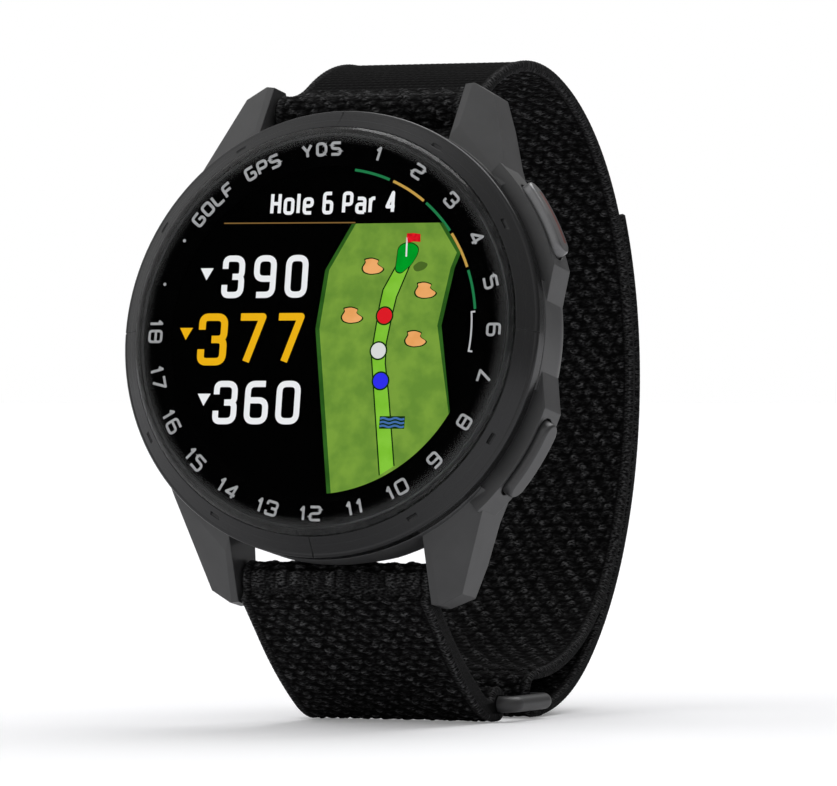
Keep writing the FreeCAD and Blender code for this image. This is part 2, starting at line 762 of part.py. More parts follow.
def make_lower_strap():
    """The short strap, doubled, with a roll for the lower spring bar and a loop for the ring."""
    body = ribbon(LOWER_START, LOWER_HEADING, LOWER_FRONT, LOWER_THICK, 0.0)
    loop = rod(RING_FRONT, RING_BAR_R + LOOP_GAP + FOLD_PLY)
    strap = body.fuse([rod(LOWER_BAR, ROLL_R), loop]).removeSplitter()
    cuts = [
        rod(LOWER_BAR, BAR_TUBE_R),
        rod(RING_FRONT, RING_BAR_R + LOOP_GAP),
        release_notch(LOWER_BAR, -0.6, 2.5),
    ]
    return above_floor(strap.cut(cuts))


def make_strap_ring():
    """The moulded ring: four round bars joined by round corners."""
    straight_x = RING_HALF - RING_CORNER_R
    bars = []
    for y in (0.0, RING_SPAN):
        start = Vector(-straight_x, y, RING_LIFT)
        bars.append(Part.makeCylinder(RING_BAR_R, 2 * straight_x, start, Vector(1, 0, 0)))
    for x in (-RING_HALF, RING_HALF):
        start = Vector(x, RING_CORNER_R, RING_LIFT)
        bars.append(Part.makeCylinder(RING_BAR_R, RING_SPAN - 2 * RING_CORNER_R, start, Vector(0, 1, 0)))
    centres = (
        (straight_x, RING_SPAN - RING_CORNER_R),
        (-straight_x, RING_SPAN - RING_CORNER_R),
        (-straight_x, RING_CORNER_R),
        (straight_x, RING_CORNER_R),
    )
    for quarter, (x, y) in enumerate(centres):
        corner = Part.makeTorus(RING_CORNER_R, RING_BAR_R, Vector(), Vector(0, 0, 1), 0, 360, 90)
        corner.rotate(Vector(), Vector(0, 0, 1), 90 * quarter)
        corner.translate(Vector(x, y, RING_LIFT))
        bars.append(corner)
    return bars[0].fuse(bars[1:]).removeSplitter()


# ---- every piece, one file each ----
os.makedirs("parts", exist_ok=True)

save_head("case_frame", make_case_frame())
save_head("bezel", make_bezel())
save_head("lens", make_lens())
save_head("lens_gasket", ring(LEDGE_R + 0.1, LENS_R - 0.05, LENS_SKIRT_DEPTH, LEDGE_DEPTH))
save_head("dial_mask", ring(SCREEN_R, LEDGE_R - 0.05, MASK_FRONT, MASK_BACK))
save_head("display_panel", disc(PANEL_R, MASK_BACK, PANEL_BACK))
save_head("display_bracket", ring(12.0, 18.6, PANEL_BACK, PANEL_BACK + 0.45))
save_head("display_flex", make_display_flex())
save_head("main_board", make_main_board())
save_head("board_shield", make_shield())
save_head("board_screws", *make_board_screws())
save_head("chassis", make_chassis())
save_head("gps_antenna", ring(17.8, 18.4, 2.0, 3.3, 245.0, 230.0))
battery_front = CHASSIS_FLOOR[1]
save_head("battery", round_block(BATTERY[:2], 0.0, BATTERY_V, battery_front, battery_front + BATTERY[2], 1.5))
save_head("battery_lead", make_battery_lead())
save_head("vibration_motor", make_motor())
save_head("sensor_board", make_sensor_board())
save_head("sensor_flex", make_sensor_flex())
save_head("sensor_window", make_sensor_window())
save_head("rear_cover", make_rear_cover())
save_head("rear_gasket", ring(18.95, 19.35, COVER_FRONT - 0.3, COVER_FRONT))
save_head("rear_screws", *make_rear_screws())
save_head("charging_socket", make_socket())
save_head("charging_pins", *make_socket_pins())

for side_name, degrees in (("upper", BUTTON_CLOCK), ("lower", 180 - BUTTON_CLOCK)):
    upper = side_name == "upper"
    save_head(f"{side_name}_button_cap", at_clock(make_button_cap(accent=upper), degrees))
    save_head(f"{side_name}_button_stem", at_clock(make_button_stem(), degrees))
    save_head(f"{side_name}_button_seal", at_clock(make_button_seal(), degrees))
    save_head(f"{side_name}_button_clip", at_clock(make_button_clip(), degrees))
    save_head(f"{side_name}_button_spring", at_clock(make_button_spring(), degrees))
    save_head(f"{side_name}_button_switch", at_clock(make_switch(), degrees))
save_head("upper_button_accent", at_clock(make_button_accent(), BUTTON_CLOCK))

for side_name, (bar_y, bar_z) in (("upper", UPPER_BAR), ("lower", LOWER_BAR)):
    pieces = {
        "bar_tube": make_bar_tube(),
        "bar_fixed_pin": make_bar_fixed_pin(),
        "bar_release_pin": make_bar_release_pin(),
        "bar_spring": make_bar_spring(),
    }
    for piece_name, solid in pieces.items():
        solid.translate(Vector(0, bar_y, bar_z))
        save(f"{side_name}_{piece_name}", solid)

save("upper_strap", make_upper_strap())
save("strap_fold", make_strap_fold())
save("strap_tail", make_strap_tail())
save("tail_tab", make_tail_tab())
save("hook_patch", make_hook_patch())
save("lower_strap", make_lower_strap())
save("strap_ring", make_strap_ring())
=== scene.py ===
import json
import math
from collections import Counter

import bmesh
import bpy
import numpy as np
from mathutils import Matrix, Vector
from mathutils.geometry import tessellate_polygon

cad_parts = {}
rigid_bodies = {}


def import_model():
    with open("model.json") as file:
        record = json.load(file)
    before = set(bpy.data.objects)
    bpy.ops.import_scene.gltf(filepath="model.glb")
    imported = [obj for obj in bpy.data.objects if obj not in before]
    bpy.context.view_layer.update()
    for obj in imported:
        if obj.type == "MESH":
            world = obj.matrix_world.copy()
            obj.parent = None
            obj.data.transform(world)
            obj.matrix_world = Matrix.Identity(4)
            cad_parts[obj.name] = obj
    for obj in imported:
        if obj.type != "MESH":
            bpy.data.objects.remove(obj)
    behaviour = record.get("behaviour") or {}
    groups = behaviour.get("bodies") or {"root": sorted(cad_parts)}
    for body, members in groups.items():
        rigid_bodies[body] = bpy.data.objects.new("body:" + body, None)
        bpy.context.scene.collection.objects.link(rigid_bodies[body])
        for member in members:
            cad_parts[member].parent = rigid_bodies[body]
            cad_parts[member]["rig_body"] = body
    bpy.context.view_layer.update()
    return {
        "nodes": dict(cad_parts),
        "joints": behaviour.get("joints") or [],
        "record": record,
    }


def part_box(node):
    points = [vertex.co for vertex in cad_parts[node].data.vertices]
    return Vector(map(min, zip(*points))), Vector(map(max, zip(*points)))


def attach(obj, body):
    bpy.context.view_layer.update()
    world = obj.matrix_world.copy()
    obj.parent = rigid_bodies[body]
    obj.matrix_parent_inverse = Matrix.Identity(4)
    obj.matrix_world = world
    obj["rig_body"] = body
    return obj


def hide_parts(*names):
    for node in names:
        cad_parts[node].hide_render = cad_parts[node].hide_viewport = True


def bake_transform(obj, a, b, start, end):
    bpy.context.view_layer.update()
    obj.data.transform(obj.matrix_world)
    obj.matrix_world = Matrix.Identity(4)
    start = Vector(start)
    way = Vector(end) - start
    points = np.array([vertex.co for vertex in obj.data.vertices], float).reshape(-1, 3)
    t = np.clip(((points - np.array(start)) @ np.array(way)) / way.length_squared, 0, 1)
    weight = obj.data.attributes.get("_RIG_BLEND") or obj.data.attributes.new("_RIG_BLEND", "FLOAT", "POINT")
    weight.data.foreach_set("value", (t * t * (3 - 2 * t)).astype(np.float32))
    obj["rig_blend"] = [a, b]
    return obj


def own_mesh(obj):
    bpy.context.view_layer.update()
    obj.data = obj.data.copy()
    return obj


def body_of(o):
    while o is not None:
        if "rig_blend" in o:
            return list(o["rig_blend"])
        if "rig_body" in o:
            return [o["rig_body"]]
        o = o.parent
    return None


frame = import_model()

# A golf GPS watch on its closed strap. Blender works in metres, and sizes here are in millimetres times MM.
MM = 0.001

# ---- places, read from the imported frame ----
MOUNTS = {mount["name"]: mount for mount in frame["record"]["mounts"]}
JOINTS = {joint["name"]: joint for joint in frame["joints"]}
RIGHT = Vector((1, 0, 0))
BACK = Vector(MOUNTS["wrist_contact"]["axis"]).normalized()
UP = RIGHT.cross(BACK)
LEAN = math.asin(UP.y)
WINDOW_DEPTH = 10.4
DIAL = Vector(MOUNTS["wrist_contact"]["pos_m"]) - BACK * WINDOW_DEPTH * MM
UPPER_BAR = Vector(JOINTS["upper_strap_swing"]["pos_m"])
LOWER_BAR = Vector(JOINTS["lower_strap_swing"]["pos_m"])
TAB_HINGE = Vector(JOINTS["tail_tab_peel"]["pos_m"])

# ---- the dial ----
PANEL_FRONT = 0.15
MASK_FRONT = 0.05
SCREEN_R = 15.75
NUMBER_R = 17.6
NUMBER_SIZE = (1.3, 1.5)
NUMBER_STROKE = 0.25
PRINT_THICK = 0.004
LAYER = 0.008
WORDS = (("GOLF GPS", 308.0, 4.45), ("YDS", 350.5, 4.9))
WORD_SIZE = (1.18, 1.4)
WORD_STROKE = 0.28
WORD_GAP = 0.24
WORD_CORNER = 0.3
LAST_INWARD_NUMBER = 6
RING_DOTS = (285, 300)
RING_DOT_R = 0.16

# ---- the strap ----
STRAP_STEP = 0.17
EDGE_ROUND = 0.42
BINDING = 0.9
KNIT_PITCH = (1.15, 0.85)
KNIT_SHIFT = 0.37
WALE_PITCH = 2.1
RIB_PITCH = 0.66
RIBS_ABOVE = 40.0
BAR_STITCH_PITCH = 1.25
RELIEF = 0.28
TAIL_RELIEF = 0.2
HOOK_RELIEF = 0.1
END_LAP = 0.12
END_FULL = 0.2  # the fabric is full thickness this near the end that meets its neighbour
END_FADE = 0.25
END_EDGE = (0.5, 2.0)  # an end of a strap solid is an edge with a length between these
NOTCH_X = (3.1, 6.4)
NOTCH_DEPTH = 3.0
UPPER_NOTCH = (-2.5, 0.6)
LOWER_NOTCH = (-0.6, 2.5)
STRAP_EDGE = 0.3  # how far each fabric's face drops at its rounded edge
TAIL_EDGE = 0.15
HOOK_EDGE = 0.05
TAB_BEND_AXIS = (0, -0.12, 1)
TAB_BEND_REACH = 4.0

# ---- the yarn: its loops, their unevenness and the raised rows they form ----
WAVES_ACROSS = ((0.13, 0.7, 1.9), (0.07, -2.1, 4.3))  # size, radians per mm across and along
WAVES_ALONG = ((0.11, 2.3, 0.4), (0.06, 5.1, 1.3))
LOOP_HALF = (0.66, 0.6)
LOOP_ROUNDING = 0.8
LOOP_SHIFT = 0.24
LOOP_TURN = 0.35
LOOP_TURN_SPREAD = 0.7
LOOP_LEAST = 0.55
WALE_LEAST = 0.65
WALE_SLANT = 0.8
RIB_BASE = 0.02
RIB_RISE = 0.26
RIB_DOT_PITCH = 0.62
RIBS_BEHIND_BAR = 4.6
BAR_BASE = 0.15
BAR_RISE = 0.75
BINDING_HEIGHT = 0.5
RIDGE_INSET = 0.3
SEAM_HALF = 0.12
SEAM_DEPTH = 0.75
ROLL_R = 2.25
BAND_MIDDLE = 0.2
BAND_HALF = 0.75
PLAIN_BELOW = -0.6
PLAIN_HEIGHT = 0.45
HOOK_PITCH = 0.6
STRAP_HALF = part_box("upper_strap")[1].x / MM
HOOK_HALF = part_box("hook_patch")[1].x / MM


def dial_point(u, v, w=0.0):
    """The place of a point of the head: u to 3 o'clock, v to 12 o'clock and w behind the dial, in mm."""
    return DIAL + (RIGHT * u + UP * v + BACK * w) * MM


def on_clock(radius, degrees):
    """The (u, v) point at a radius, clockwise from 12 o'clock."""
    angle = math.radians(degrees)
    return radius * math.sin(angle), radius * math.cos(angle)


# ---- materials ----
GLASS_EDGE = (18.0, 19.2)  # the radii between which the glass rolls over
GLASS_SHINE = (0.004, 0.6)  # how much it reflects on its flat face and on its edge
GLASS_SMEARS = (0.12, 0.18)
GLASS_IOR = 1.5
TURNING_MARKS = 3.0  # how much closer the marks on turned metal are than its grain


def node(tree, kind, inputs=None, **settings):
    """A shader node with its settings, and its inputs given a value or linked to another node's output."""
    made = tree.nodes.new("ShaderNode" + kind)
    for name, value in settings.items():
        setattr(made, name, value)
    for name, value in (inputs or {}).items():
        if isinstance(value, bpy.types.NodeSocket):
            tree.links.new(value, made.inputs[name])
        else:
            made.inputs[name].default_value = value
    return made


def blank(name):
    """A new material's node tree, empty."""
    material = bpy.data.materials.new(name)
    material.use_nodes = True
    material.node_tree.nodes.clear()
    return material, material.node_tree


def output(tree, shader):
    node(tree, "OutputMaterial", {"Surface": shader.outputs[0]})


def part_coords(tree):
    """Coordinates in millimetres that stay on the piece."""
    coords = node(tree, "TexCoord").outputs["Object"]
    scale = (1 / MM, 1 / MM, 1 / MM)
    return node(tree, "Mapping", {"Vector": coords, "Scale": scale}).outputs[0]


def head_coords(tree):
    """Coordinates in millimetres on the head: x to 3 o'clock, y behind the dial and z to 12 o'clock."""
    coords = node(tree, "TexCoord").outputs["Object"]
    inputs = {"Vector": coords, "Location": DIAL, "Rotation": (-LEAN, 0, 0), "Scale": (MM, MM, MM)}
    return node(tree, "Mapping", inputs, vector_type="TEXTURE").outputs[0]


def strap_coords(tree):
    """Coordinates in millimetres along the fabric: x across the strap and y along it."""
    return node(tree, "UVMap", uv_map="cloth").outputs[0]


def maths(tree, operation, first, second=0.0):
    return node(tree, "Math", {0: first, 1: second}, operation=operation).outputs[0]


def dial_radius(tree, parts):
    """The distance from the dial's axis, in millimetres, from separated head coordinates."""
    square_x = maths(tree, "POWER", parts.outputs["X"], 2.0)
    square_z = maths(tree, "POWER", parts.outputs["Z"], 2.0)
    return maths(tree, "SQRT", maths(tree, "ADD", square_x, square_z))


def noise(tree, coords, scale, detail=3.0):
    return node(tree, "TexNoise", {"Vector": coords, "Scale": scale, "Detail": detail}).outputs["Fac"]


def between(tree, factor, low, high):
    """Factor from 0 to 1 spread from low to high, as a number."""
    inputs = {"Value": factor, "To Min": low, "To Max": high}
    return node(tree, "MapRange", inputs).outputs[0]


def ramp(tree, factor, *stops):
    """A colour ramp through (place, colour) stops."""
    made = node(tree, "ValToRGB", {"Fac": factor})
    elements = made.color_ramp.elements
    while len(elements) < len(stops):
        elements.new(0.5)
    for element, (place, colour) in zip(elements, stops):
        element.position = place
        element.color = (*colour, 1)
    return made.outputs["Color"]


def grey(value):
    return (value, value, value * 1.02)


def rounded_normal(tree, radius, height=None, strength=0.3, distance=0.02):
    """A normal that softens hard edges to a radius in mm, with a bump on top."""
    edge = node(tree, "Bevel", {"Radius": radius * MM}, samples=6).outputs[0]
    if height is None:
        return edge
    inputs = {"Height": height, "Normal": edge, "Strength": strength, "Distance": distance * MM}
    return node(tree, "Bump", inputs).outputs[0]


def moulded_plastic(name, colour, roughness, grain=14.0, edge=0.12, strength=0.25):
    """Satin moulded polymer with a fine grain and softened edges."""
    material, tree = blank(name)
    coords = part_coords(tree)
    fine = noise(tree, coords, grain, 4.0)
    broad = noise(tree, coords, 0.35, 2.0)
    tone = ramp(tree, broad, (0.3, tuple(0.9 * c for c in colour)), (0.7, tuple(1.12 * c for c in colour)))
    inputs = {
        "Base Color": tone,
        "Roughness": between(tree, fine, roughness - 0.05, roughness + 0.07),
        "Normal": rounded_normal(tree, edge, fine, strength),
    }
    output(tree, node(tree, "BsdfPrincipled", inputs))
    return material


def satin_metal(name, colour, roughness, metallic=1.0, grain=9.0, edge=0.08, turned=False):
    """Blasted or turned metal. A turned one has its marks running round the dial."""
    material, tree = blank(name)
    coords = head_coords(tree) if turned else part_coords(tree)
    if turned:
        parts = node(tree, "SeparateXYZ", {"Vector": coords})
        marks = maths(tree, "MULTIPLY", dial_radius(tree, parts), TURNING_MARKS)
        coords = node(tree, "CombineXYZ", {"X": marks, "Y": parts.outputs["Y"]}).outputs[0]
    fine = noise(tree, coords, grain, 4.0)
    inputs = {
        "Base Color": ramp(tree, fine, (0.25, tuple(0.82 * c for c in colour)), (0.75, colour)),
        "Metallic": metallic,
        "Roughness": between(tree, fine, roughness - 0.04, roughness + 0.08),
        "Normal": rounded_normal(tree, edge, fine, 0.05),
    }
    output(tree, node(tree, "BsdfPrincipled", inputs))
    return material


def cover_glass():
    """Clear glass with a weak reflection on its flat face and a full one round its rolled edge."""
    material, tree = blank("cover_glass")
    parts = node(tree, "SeparateXYZ", {"Vector": head_coords(tree)})
    edge = node(tree, "MapRange", {"Value": dial_radius(tree, parts),
                                   "From Min": GLASS_EDGE[0], "From Max": GLASS_EDGE[1],
                                   "To Min": GLASS_SHINE[0], "To Max": GLASS_SHINE[1]})
    fresnel = node(tree, "Fresnel", {"IOR": GLASS_IOR}).outputs[0]
    amount = maths(tree, "MULTIPLY", fresnel, edge.outputs[0])
    smears = between(tree, noise(tree, part_coords(tree), 0.25), *GLASS_SMEARS)
    shine = node(tree, "BsdfGlossy", {"Color": (1, 1, 1, 1), "Roughness": smears})
    clear = node(tree, "BsdfTransparent", {"Color": (0.97, 0.98, 0.98, 1)})
    output(tree, node(tree, "MixShader", {"Fac": amount, 1: clear.outputs[0], 2: shine.outputs[0]}))
    return material


def lit(name, colour, strength=1.0, second=None, patch=0.45):
    """Light given off by the surface: the screen's own light, and on the printed number ring a painted glow.
    Mottled where a second colour is given.
    """
    material, tree = blank(name)
    shade = (*colour, 1)
    if second:
        mottle = noise(tree, head_coords(tree), patch, 4.0)
        shade = ramp(tree, mottle, (0.38, colour), (0.62, second))
    inputs = {"Base Color": (0.0, 0.0, 0.0, 1), "Roughness": 0.5, "Specular IOR Level": 0.0,
              "Emission Color": shade, "Emission Strength": strength}
    output(tree, node(tree, "BsdfPrincipled", inputs))
    return material


def black_print():
    """The black ink under the glass, with a faint dust of lighter grains."""
    material, tree = blank("mask_ink")
    dust = noise(tree, head_coords(tree), 9.0)
    inputs = {"Base Color": ramp(tree, dust, (0.4, grey(0.0006)), (0.8, grey(0.0011))),
              "Roughness": 0.5, "Specular IOR Level": 0.0}
    output(tree, node(tree, "BsdfPrincipled", inputs))
    return material


def dark_screen():
    """The unlit part of the screen, nearly black, with its fine grid of pixels."""
    material, tree = blank("display")
    grid = node(tree, "TexChecker", {"Vector": head_coords(tree), "Scale": 12.0})
    inputs = {"Base Color": ramp(tree, grid.outputs["Fac"], (0.0, grey(0.0004)), (1.0, grey(0.0006))),
              "Roughness": 0.35, "Specular IOR Level": 0.0}
    output(tree, node(tree, "BsdfPrincipled", inputs))
    return material


def knitted_nylon():
    """Black knitted yarn with fine filaments along each loop; its colour is painted paler on the knit's
    crowns and darker in its gaps, as painted highlight and painted shade.
    """
    material, tree = blank("strap_fabric")
    coords = strap_coords(tree)
    tilted = node(tree, "Mapping", {"Vector": coords, "Rotation": (0, 0, 0.55), "Scale": (1, 2.2, 1)})
    filament = noise(tree, tilted.outputs[0], 2.6, 6.0)
    # The knit's height on the mesh sets the colour: a painted highlight on the crowns and painted shade in
    # the gaps between loops, varied by the filaments.
    height_for_painted_shade = node(tree, "Attribute", attribute_name="height_for_painted_shade").outputs["Fac"]
    filament_spread = node(tree, "MapRange", {"Value": filament, "From Min": 0.36, "From Max": 0.64,
                                   "To Min": 0.05, "To Max": 1.3})
    painted_knit_light = maths(tree, "MULTIPLY", height_for_painted_shade, filament_spread.outputs[0])
    tone = ramp(tree, painted_knit_light, (0.06, grey(0.002)), (0.4, grey(0.019)), (0.95, grey(0.09)))
    inputs = {
        "Base Color": tone,
        "Roughness": 0.8,
        "Specular IOR Level": 0.03,
        "Normal": node(tree, "Bump", {"Height": filament, "Strength": 0.8, "Distance": 0.12 * MM}).outputs[0],
    }
    output(tree, node(tree, "BsdfPrincipled", inputs))
    return material


def hook_tape():
    """The stiff hook side of the fastener."""
    material, tree = blank("hook_fabric")
    cells = node(tree, "TexVoronoi", {"Vector": part_coords(tree), "Scale": 2.4})
    inputs = {
        "Base Color": ramp(tree, cells.outputs["Distance"], (0.0, grey(0.03)), (0.5, grey(0.009))),
        "Roughness": 0.5,
        "Normal": node(tree, "Bump", {"Height": cells.outputs["Distance"], "Strength": 0.6,
                                      "Distance": 0.1 * MM}).outputs[0],
    }
    output(tree, node(tree, "BsdfPrincipled", inputs))
    return material


def circuit_board():
    """Green solder mask over a pattern of copper tracks."""
    material, tree = blank("circuit_board")
    tracks = node(tree, "TexBrick", {"Vector": head_coords(tree), "Scale": 1.2, "Mortar Size": 0.05,
                                     "Color1": (0.01, 0.09, 0.04, 1), "Color2": (0.014, 0.11, 0.05, 1),
                                     "Mortar": (0.05, 0.2, 0.07, 1)})
    inputs = {"Base Color": tracks.outputs["Color"], "Roughness": 0.35,
              "Normal": node(tree, "Bump", {"Height": tracks.outputs["Fac"], "Strength": 0.2,
                                            "Distance": 0.03 * MM}).outputs[0]}
    output(tree, node(tree, "BsdfPrincipled", inputs))
    return material


MATERIALS = {
    "case_polymer": moulded_plastic("case_polymer", grey(0.046), 0.42, grain=11.0, edge=0.16),
    "bezel_metal": satin_metal("bezel_metal", grey(0.045), 0.24, metallic=0.9, edge=0.1, turned=True),
    "cover_glass": cover_glass(),
    "mask_ink": black_print(),
    "display": dark_screen(),
    "seal_rubber": moulded_plastic("seal_rubber", grey(0.012), 0.7),
    "steel": satin_metal("steel", grey(0.5), 0.3),
    "circuit_board": circuit_board(),
    "flex_film": moulded_plastic("flex_film", (0.42, 0.16, 0.03), 0.3),
    "chassis_plastic": moulded_plastic("chassis_plastic", grey(0.018), 0.55),
    "cell_foil": satin_metal("cell_foil", grey(0.42), 0.4),
    "gold_contact": satin_metal("gold_contact", (0.8, 0.55, 0.2), 0.25),
    "cover_polymer": moulded_plastic("cover_polymer", grey(0.02), 0.3, grain=6.0),
    "sensor_glass": moulded_plastic("sensor_glass", (0.012, 0.012, 0.018), 0.08, grain=1.0, strength=0.02),
    "button_metal": satin_metal("button_metal", grey(0.2), 0.3, metallic=0.8, edge=0.12),
    "button_dark": satin_metal("button_dark", grey(0.075), 0.32, metallic=0.7, edge=0.12),
    "button_accent": satin_metal("button_accent", (0.2, 0.04, 0.03), 0.35, metallic=0.3),
    "strap_fabric": knitted_nylon(),
    "hook_fabric": hook_tape(),
    "ring_plastic": moulded_plastic("ring_plastic", grey(0.04), 0.38),
}


def dress_cad_nodes():
    """Every CAD node takes the material of its slot in the record."""
    for part in frame["record"]["subparts"]:
        mesh = frame["nodes"][part["node"]].data
        mesh.materials.clear()
        mesh.materials.append(MATERIALS[part["material_slot"]])


# ---- making pieces ----
def new_piece(name, vertices, faces, material, body, slot, smooth=False):
    """A mesh piece in metres that rides on a body."""
    mesh = bpy.data.meshes.new(name)
    mesh.from_pydata([tuple(v) for v in vertices], [], faces)
    mesh.materials.append(material)
    mesh.update()
    if smooth:
        mesh.shade_smooth()
    piece = bpy.data.objects.new(name, mesh)
    bpy.context.scene.collection.objects.link(piece)
    if body:
        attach(piece, body)
    return piece


class Print:
    """Flat shapes gathered into one thin piece at a depth behind the dial."""

    def __init__(self, name, material, depth, slot="display"):
        self.name, self.material, self.depth, self.slot = name, material, depth, slot
        self.vertices, self.faces = [], []

    def shape(self, outline):
        """A filled outline of (u, v) points."""
        count, start = len(outline), len(self.vertices)
        for depth in (self.depth, self.depth + PRINT_THICK):
            self.vertices += [dial_point(u, v, depth) for u, v in outline]
        front = list(range(start, start + count))
        self.faces += [front, [i + count for i in reversed(front)]]
        for i in range(count):
            j = (i + 1) % count
            self.faces.append([start + j, start + i, start + count + i, start + count + j])

    def stroke(self, line, width, closed=False):
        """A line of a width, with mitred corners."""
        points = [Vector(p) for p in line]
        count, start = len(points), len(self.vertices)
        for i, point in enumerate(points):
            before = points[i - 1] if closed or i else point * 2 - points[1]
            after = points[(i + 1) % count] if closed or i < count - 1 else point * 2 - points[i - 1]
            into, out = (point - before).normalized(), (after - point).normalized()
            along = (into + out).normalized()
            across = Vector((-along.y, along.x)) * (width / 2 / max(along.dot(out), 0.4))
            for depth in (self.depth, self.depth + PRINT_THICK):
                self.vertices += [dial_point(*(point + across), depth), dial_point(*(point - across), depth)]
        for i in range(count if closed else count - 1):
            a, b = start + 4 * i, start + 4 * ((i + 1) % count)
            self.faces += [[a, a + 1, b + 1, b], [a + 2, b + 2, b + 3, a + 3]]
            self.faces += [[a, b, b + 2, a + 2], [a + 1, a + 3, b + 3, b + 1]]
        if not closed:
            a, b = start, start + 4 * (count - 1)
            self.faces += [[a, a + 2, a + 3, a + 1], [b, b + 1, b + 3, b + 2]]

    def disc(self, centre, radius, corners=40):
        turns = [2 * math.pi * i / corners for i in range(corners)]
        self.shape([(centre[0] + radius * math.cos(t), centre[1] + radius * math.sin(t)) for t in turns])

    def place(self):
        piece = new_piece(self.name, self.vertices, self.faces, self.material, "head", self.slot)
        face_outward(piece.data)
        return piece


def rounded(points, radius, closed=False, steps=6):
    """A line through points with its corners rounded, as a list of (x, y)."""
    points = [Vector(p) for p in points]
    line = []
    for i, point in enumerate(points):
        if not closed and i in (0, len(points) - 1):
            line.append(tuple(point))
            continue
        before, after = points[i - 1], points[(i + 1) % len(points)]
        reach = min(radius, (before - point).length / 2, (after - point).length / 2)
        start = point + (before - point).normalized() * reach
        end = point + (after - point).normalized() * reach
        for step in range(steps + 1):
            t = step / steps
            line.append(tuple(start * (1 - t) ** 2 + point * 2 * t * (1 - t) + end * t * t))
    return line


# Letters and numbers as lines in a cell one unit wide and high; a third entry of True closes the line.
GLYPHS = {
    "0": [([(0, 0), (1, 0), (1, 1), (0, 1)], True)],
    "1": [([(0.15, 0.72), (0.62, 1), (0.62, 0)], False)],
    "2": [([(0, 1), (1, 1), (1, 0.52), (0, 0.48), (0, 0), (1, 0)], False)],
    "3": [([(0, 0.72), (0, 1), (1, 1), (1, 0.5), (0.45, 0.5)], False),
          ([(0.45, 0.5), (1, 0.5), (1, 0), (0, 0), (0, 0.28)], False)],
    "4": [([(0.74, 0), (0.74, 1), (0, 0.27), (1, 0.27)], False)],
    "5": [([(1, 1), (0, 1), (0, 0.58), (1, 0.58), (1, 0), (0, 0)], False)],
    "6": [([(0.95, 1), (0, 1), (0, 0), (1, 0), (1, 0.56), (0, 0.56)], False)],
    "7": [([(0, 1), (1, 1), (0.35, 0)], False)],
    "8": [([(0, 0), (1, 0), (1, 1), (0, 1)], True), ([(0, 0.52), (1, 0.52)], False)],
    "9": [([(0.05, 0), (1, 0), (1, 1), (0, 1), (0, 0.44), (1, 0.44)], False)],
    " ": [],
    "D": [([(0, 0), (0.7, 0), (1, 0.25), (1, 0.75), (0.7, 1), (0, 1)], True)],
    "F": [([(0, 0), (0, 1), (1, 1)], False), ([(0, 0.5), (0.85, 0.5)], False)],
    "G": [([(1, 1), (0, 1), (0, 0), (1, 0), (1, 0.5), (0.5, 0.5)], False)],
    "H": [([(0, 0), (0, 1)], False), ([(1, 0), (1, 1)], False), ([(0, 0.5), (1, 0.5)], False)],
    "L": [([(0, 1), (0, 0), (1, 0)], False)],
    "O": [([(0, 0), (1, 0), (1, 1), (0, 1)], True)],
    "P": [([(0, 0), (0, 1), (1, 1), (1, 0.42), (0, 0.42)], False)],
    "S": [([(1, 1), (0, 1), (0, 0.52), (1, 0.48), (1, 0), (0, 0)], False)],
    "Y": [([(0, 1), (0.5, 0.45), (1, 1)], False), ([(0.5, 0.45), (0.5, 0)], False)],
    "a": [([(0.05, 0.72), (1, 0.72), (1, 0)], False), ([(1, 0.42), (0, 0.42), (0, 0), (1, 0)], False)],
    "e": [([(0, 0.36), (1, 0.36), (1, 0.72), (0, 0.72), (0, 0), (0.95, 0)], False)],
    "l": [([(0, 0), (0, 1)], False)],
    "o": [([(0, 0), (1, 0), (1, 0.72), (0, 0.72)], True)],
    "r": [([(0, 0), (0, 0.72)], False), ([(0, 0.5), (0.3, 0.72), (1, 0.72)], False)],
}
SHARP = {"1": 0.05, "4": 0.05, "7": 0.03, "Y": 0.03, "H": 0.03}
NARROW = {"1": 0.55, "l": 0.05, "r": 0.6, " ": 0.1}


def write(print_, text, size, stroke, gap, corner, place):
    """Text centred on the origin of its own (x, y), which place() turns to (u, v)."""
    width, height = size[0] - stroke, size[1] - stroke
    widths = [width * NARROW.get(letter, 1.0) for letter in text]
    x = -(sum(widths) + (gap + stroke) * (len(text) - 1)) / 2
    for letter, advance in zip(text, widths):
        for points, closed in GLYPHS[letter]:
            cell = [(px * advance, py * height) for px, py in points]
            line = rounded(cell, SHARP.get(letter, corner), closed)
            print_.stroke([place(x + px, py - height / 2) for px, py in line], stroke, closed)
        x += advance + gap + stroke


def write_on_ring(print_, text, degrees, outward, size, stroke):
    """Text on the number ring. Outward text has its feet towards the bezel."""
    centre = Vector(on_clock(NUMBER_R, degrees))
    radial = centre.normalized()
    up = -radial if outward else radial
    along = Vector((up.y, -up.x))
    write(print_, text, size, stroke, WORD_GAP, WORD_CORNER,
          lambda x, y: tuple(centre + along * x + up * y))


def make_number_ring():
    """The numbers 1 to 18 and two plain words on the ring, and two small dots."""
    # The ring's numbers are printed ink, but they are given emission so they glow as painted light, though
    # they are no lamp.
    ink = lit("ring_print_painted_glow", grey(0.33), 0.9, grey(0.42), 2.0)
    numbers = Print("number_ring_print", ink, MASK_FRONT - LAYER, "mask_ink")
    for number in range(1, 19):
        outward = number > LAST_INWARD_NUMBER
        write_on_ring(numbers, str(number), 15 * number, outward, NUMBER_SIZE, NUMBER_STROKE)
    for word, start, pitch in WORDS:
        for place, character in enumerate(word):
            if character != " ":
                write_on_ring(numbers, character, start + pitch * place, False, WORD_SIZE, WORD_STROKE)
    for degrees in RING_DOTS:
        numbers.disc(on_clock(NUMBER_R, degrees), RING_DOT_R, 16)
    return numbers.place()


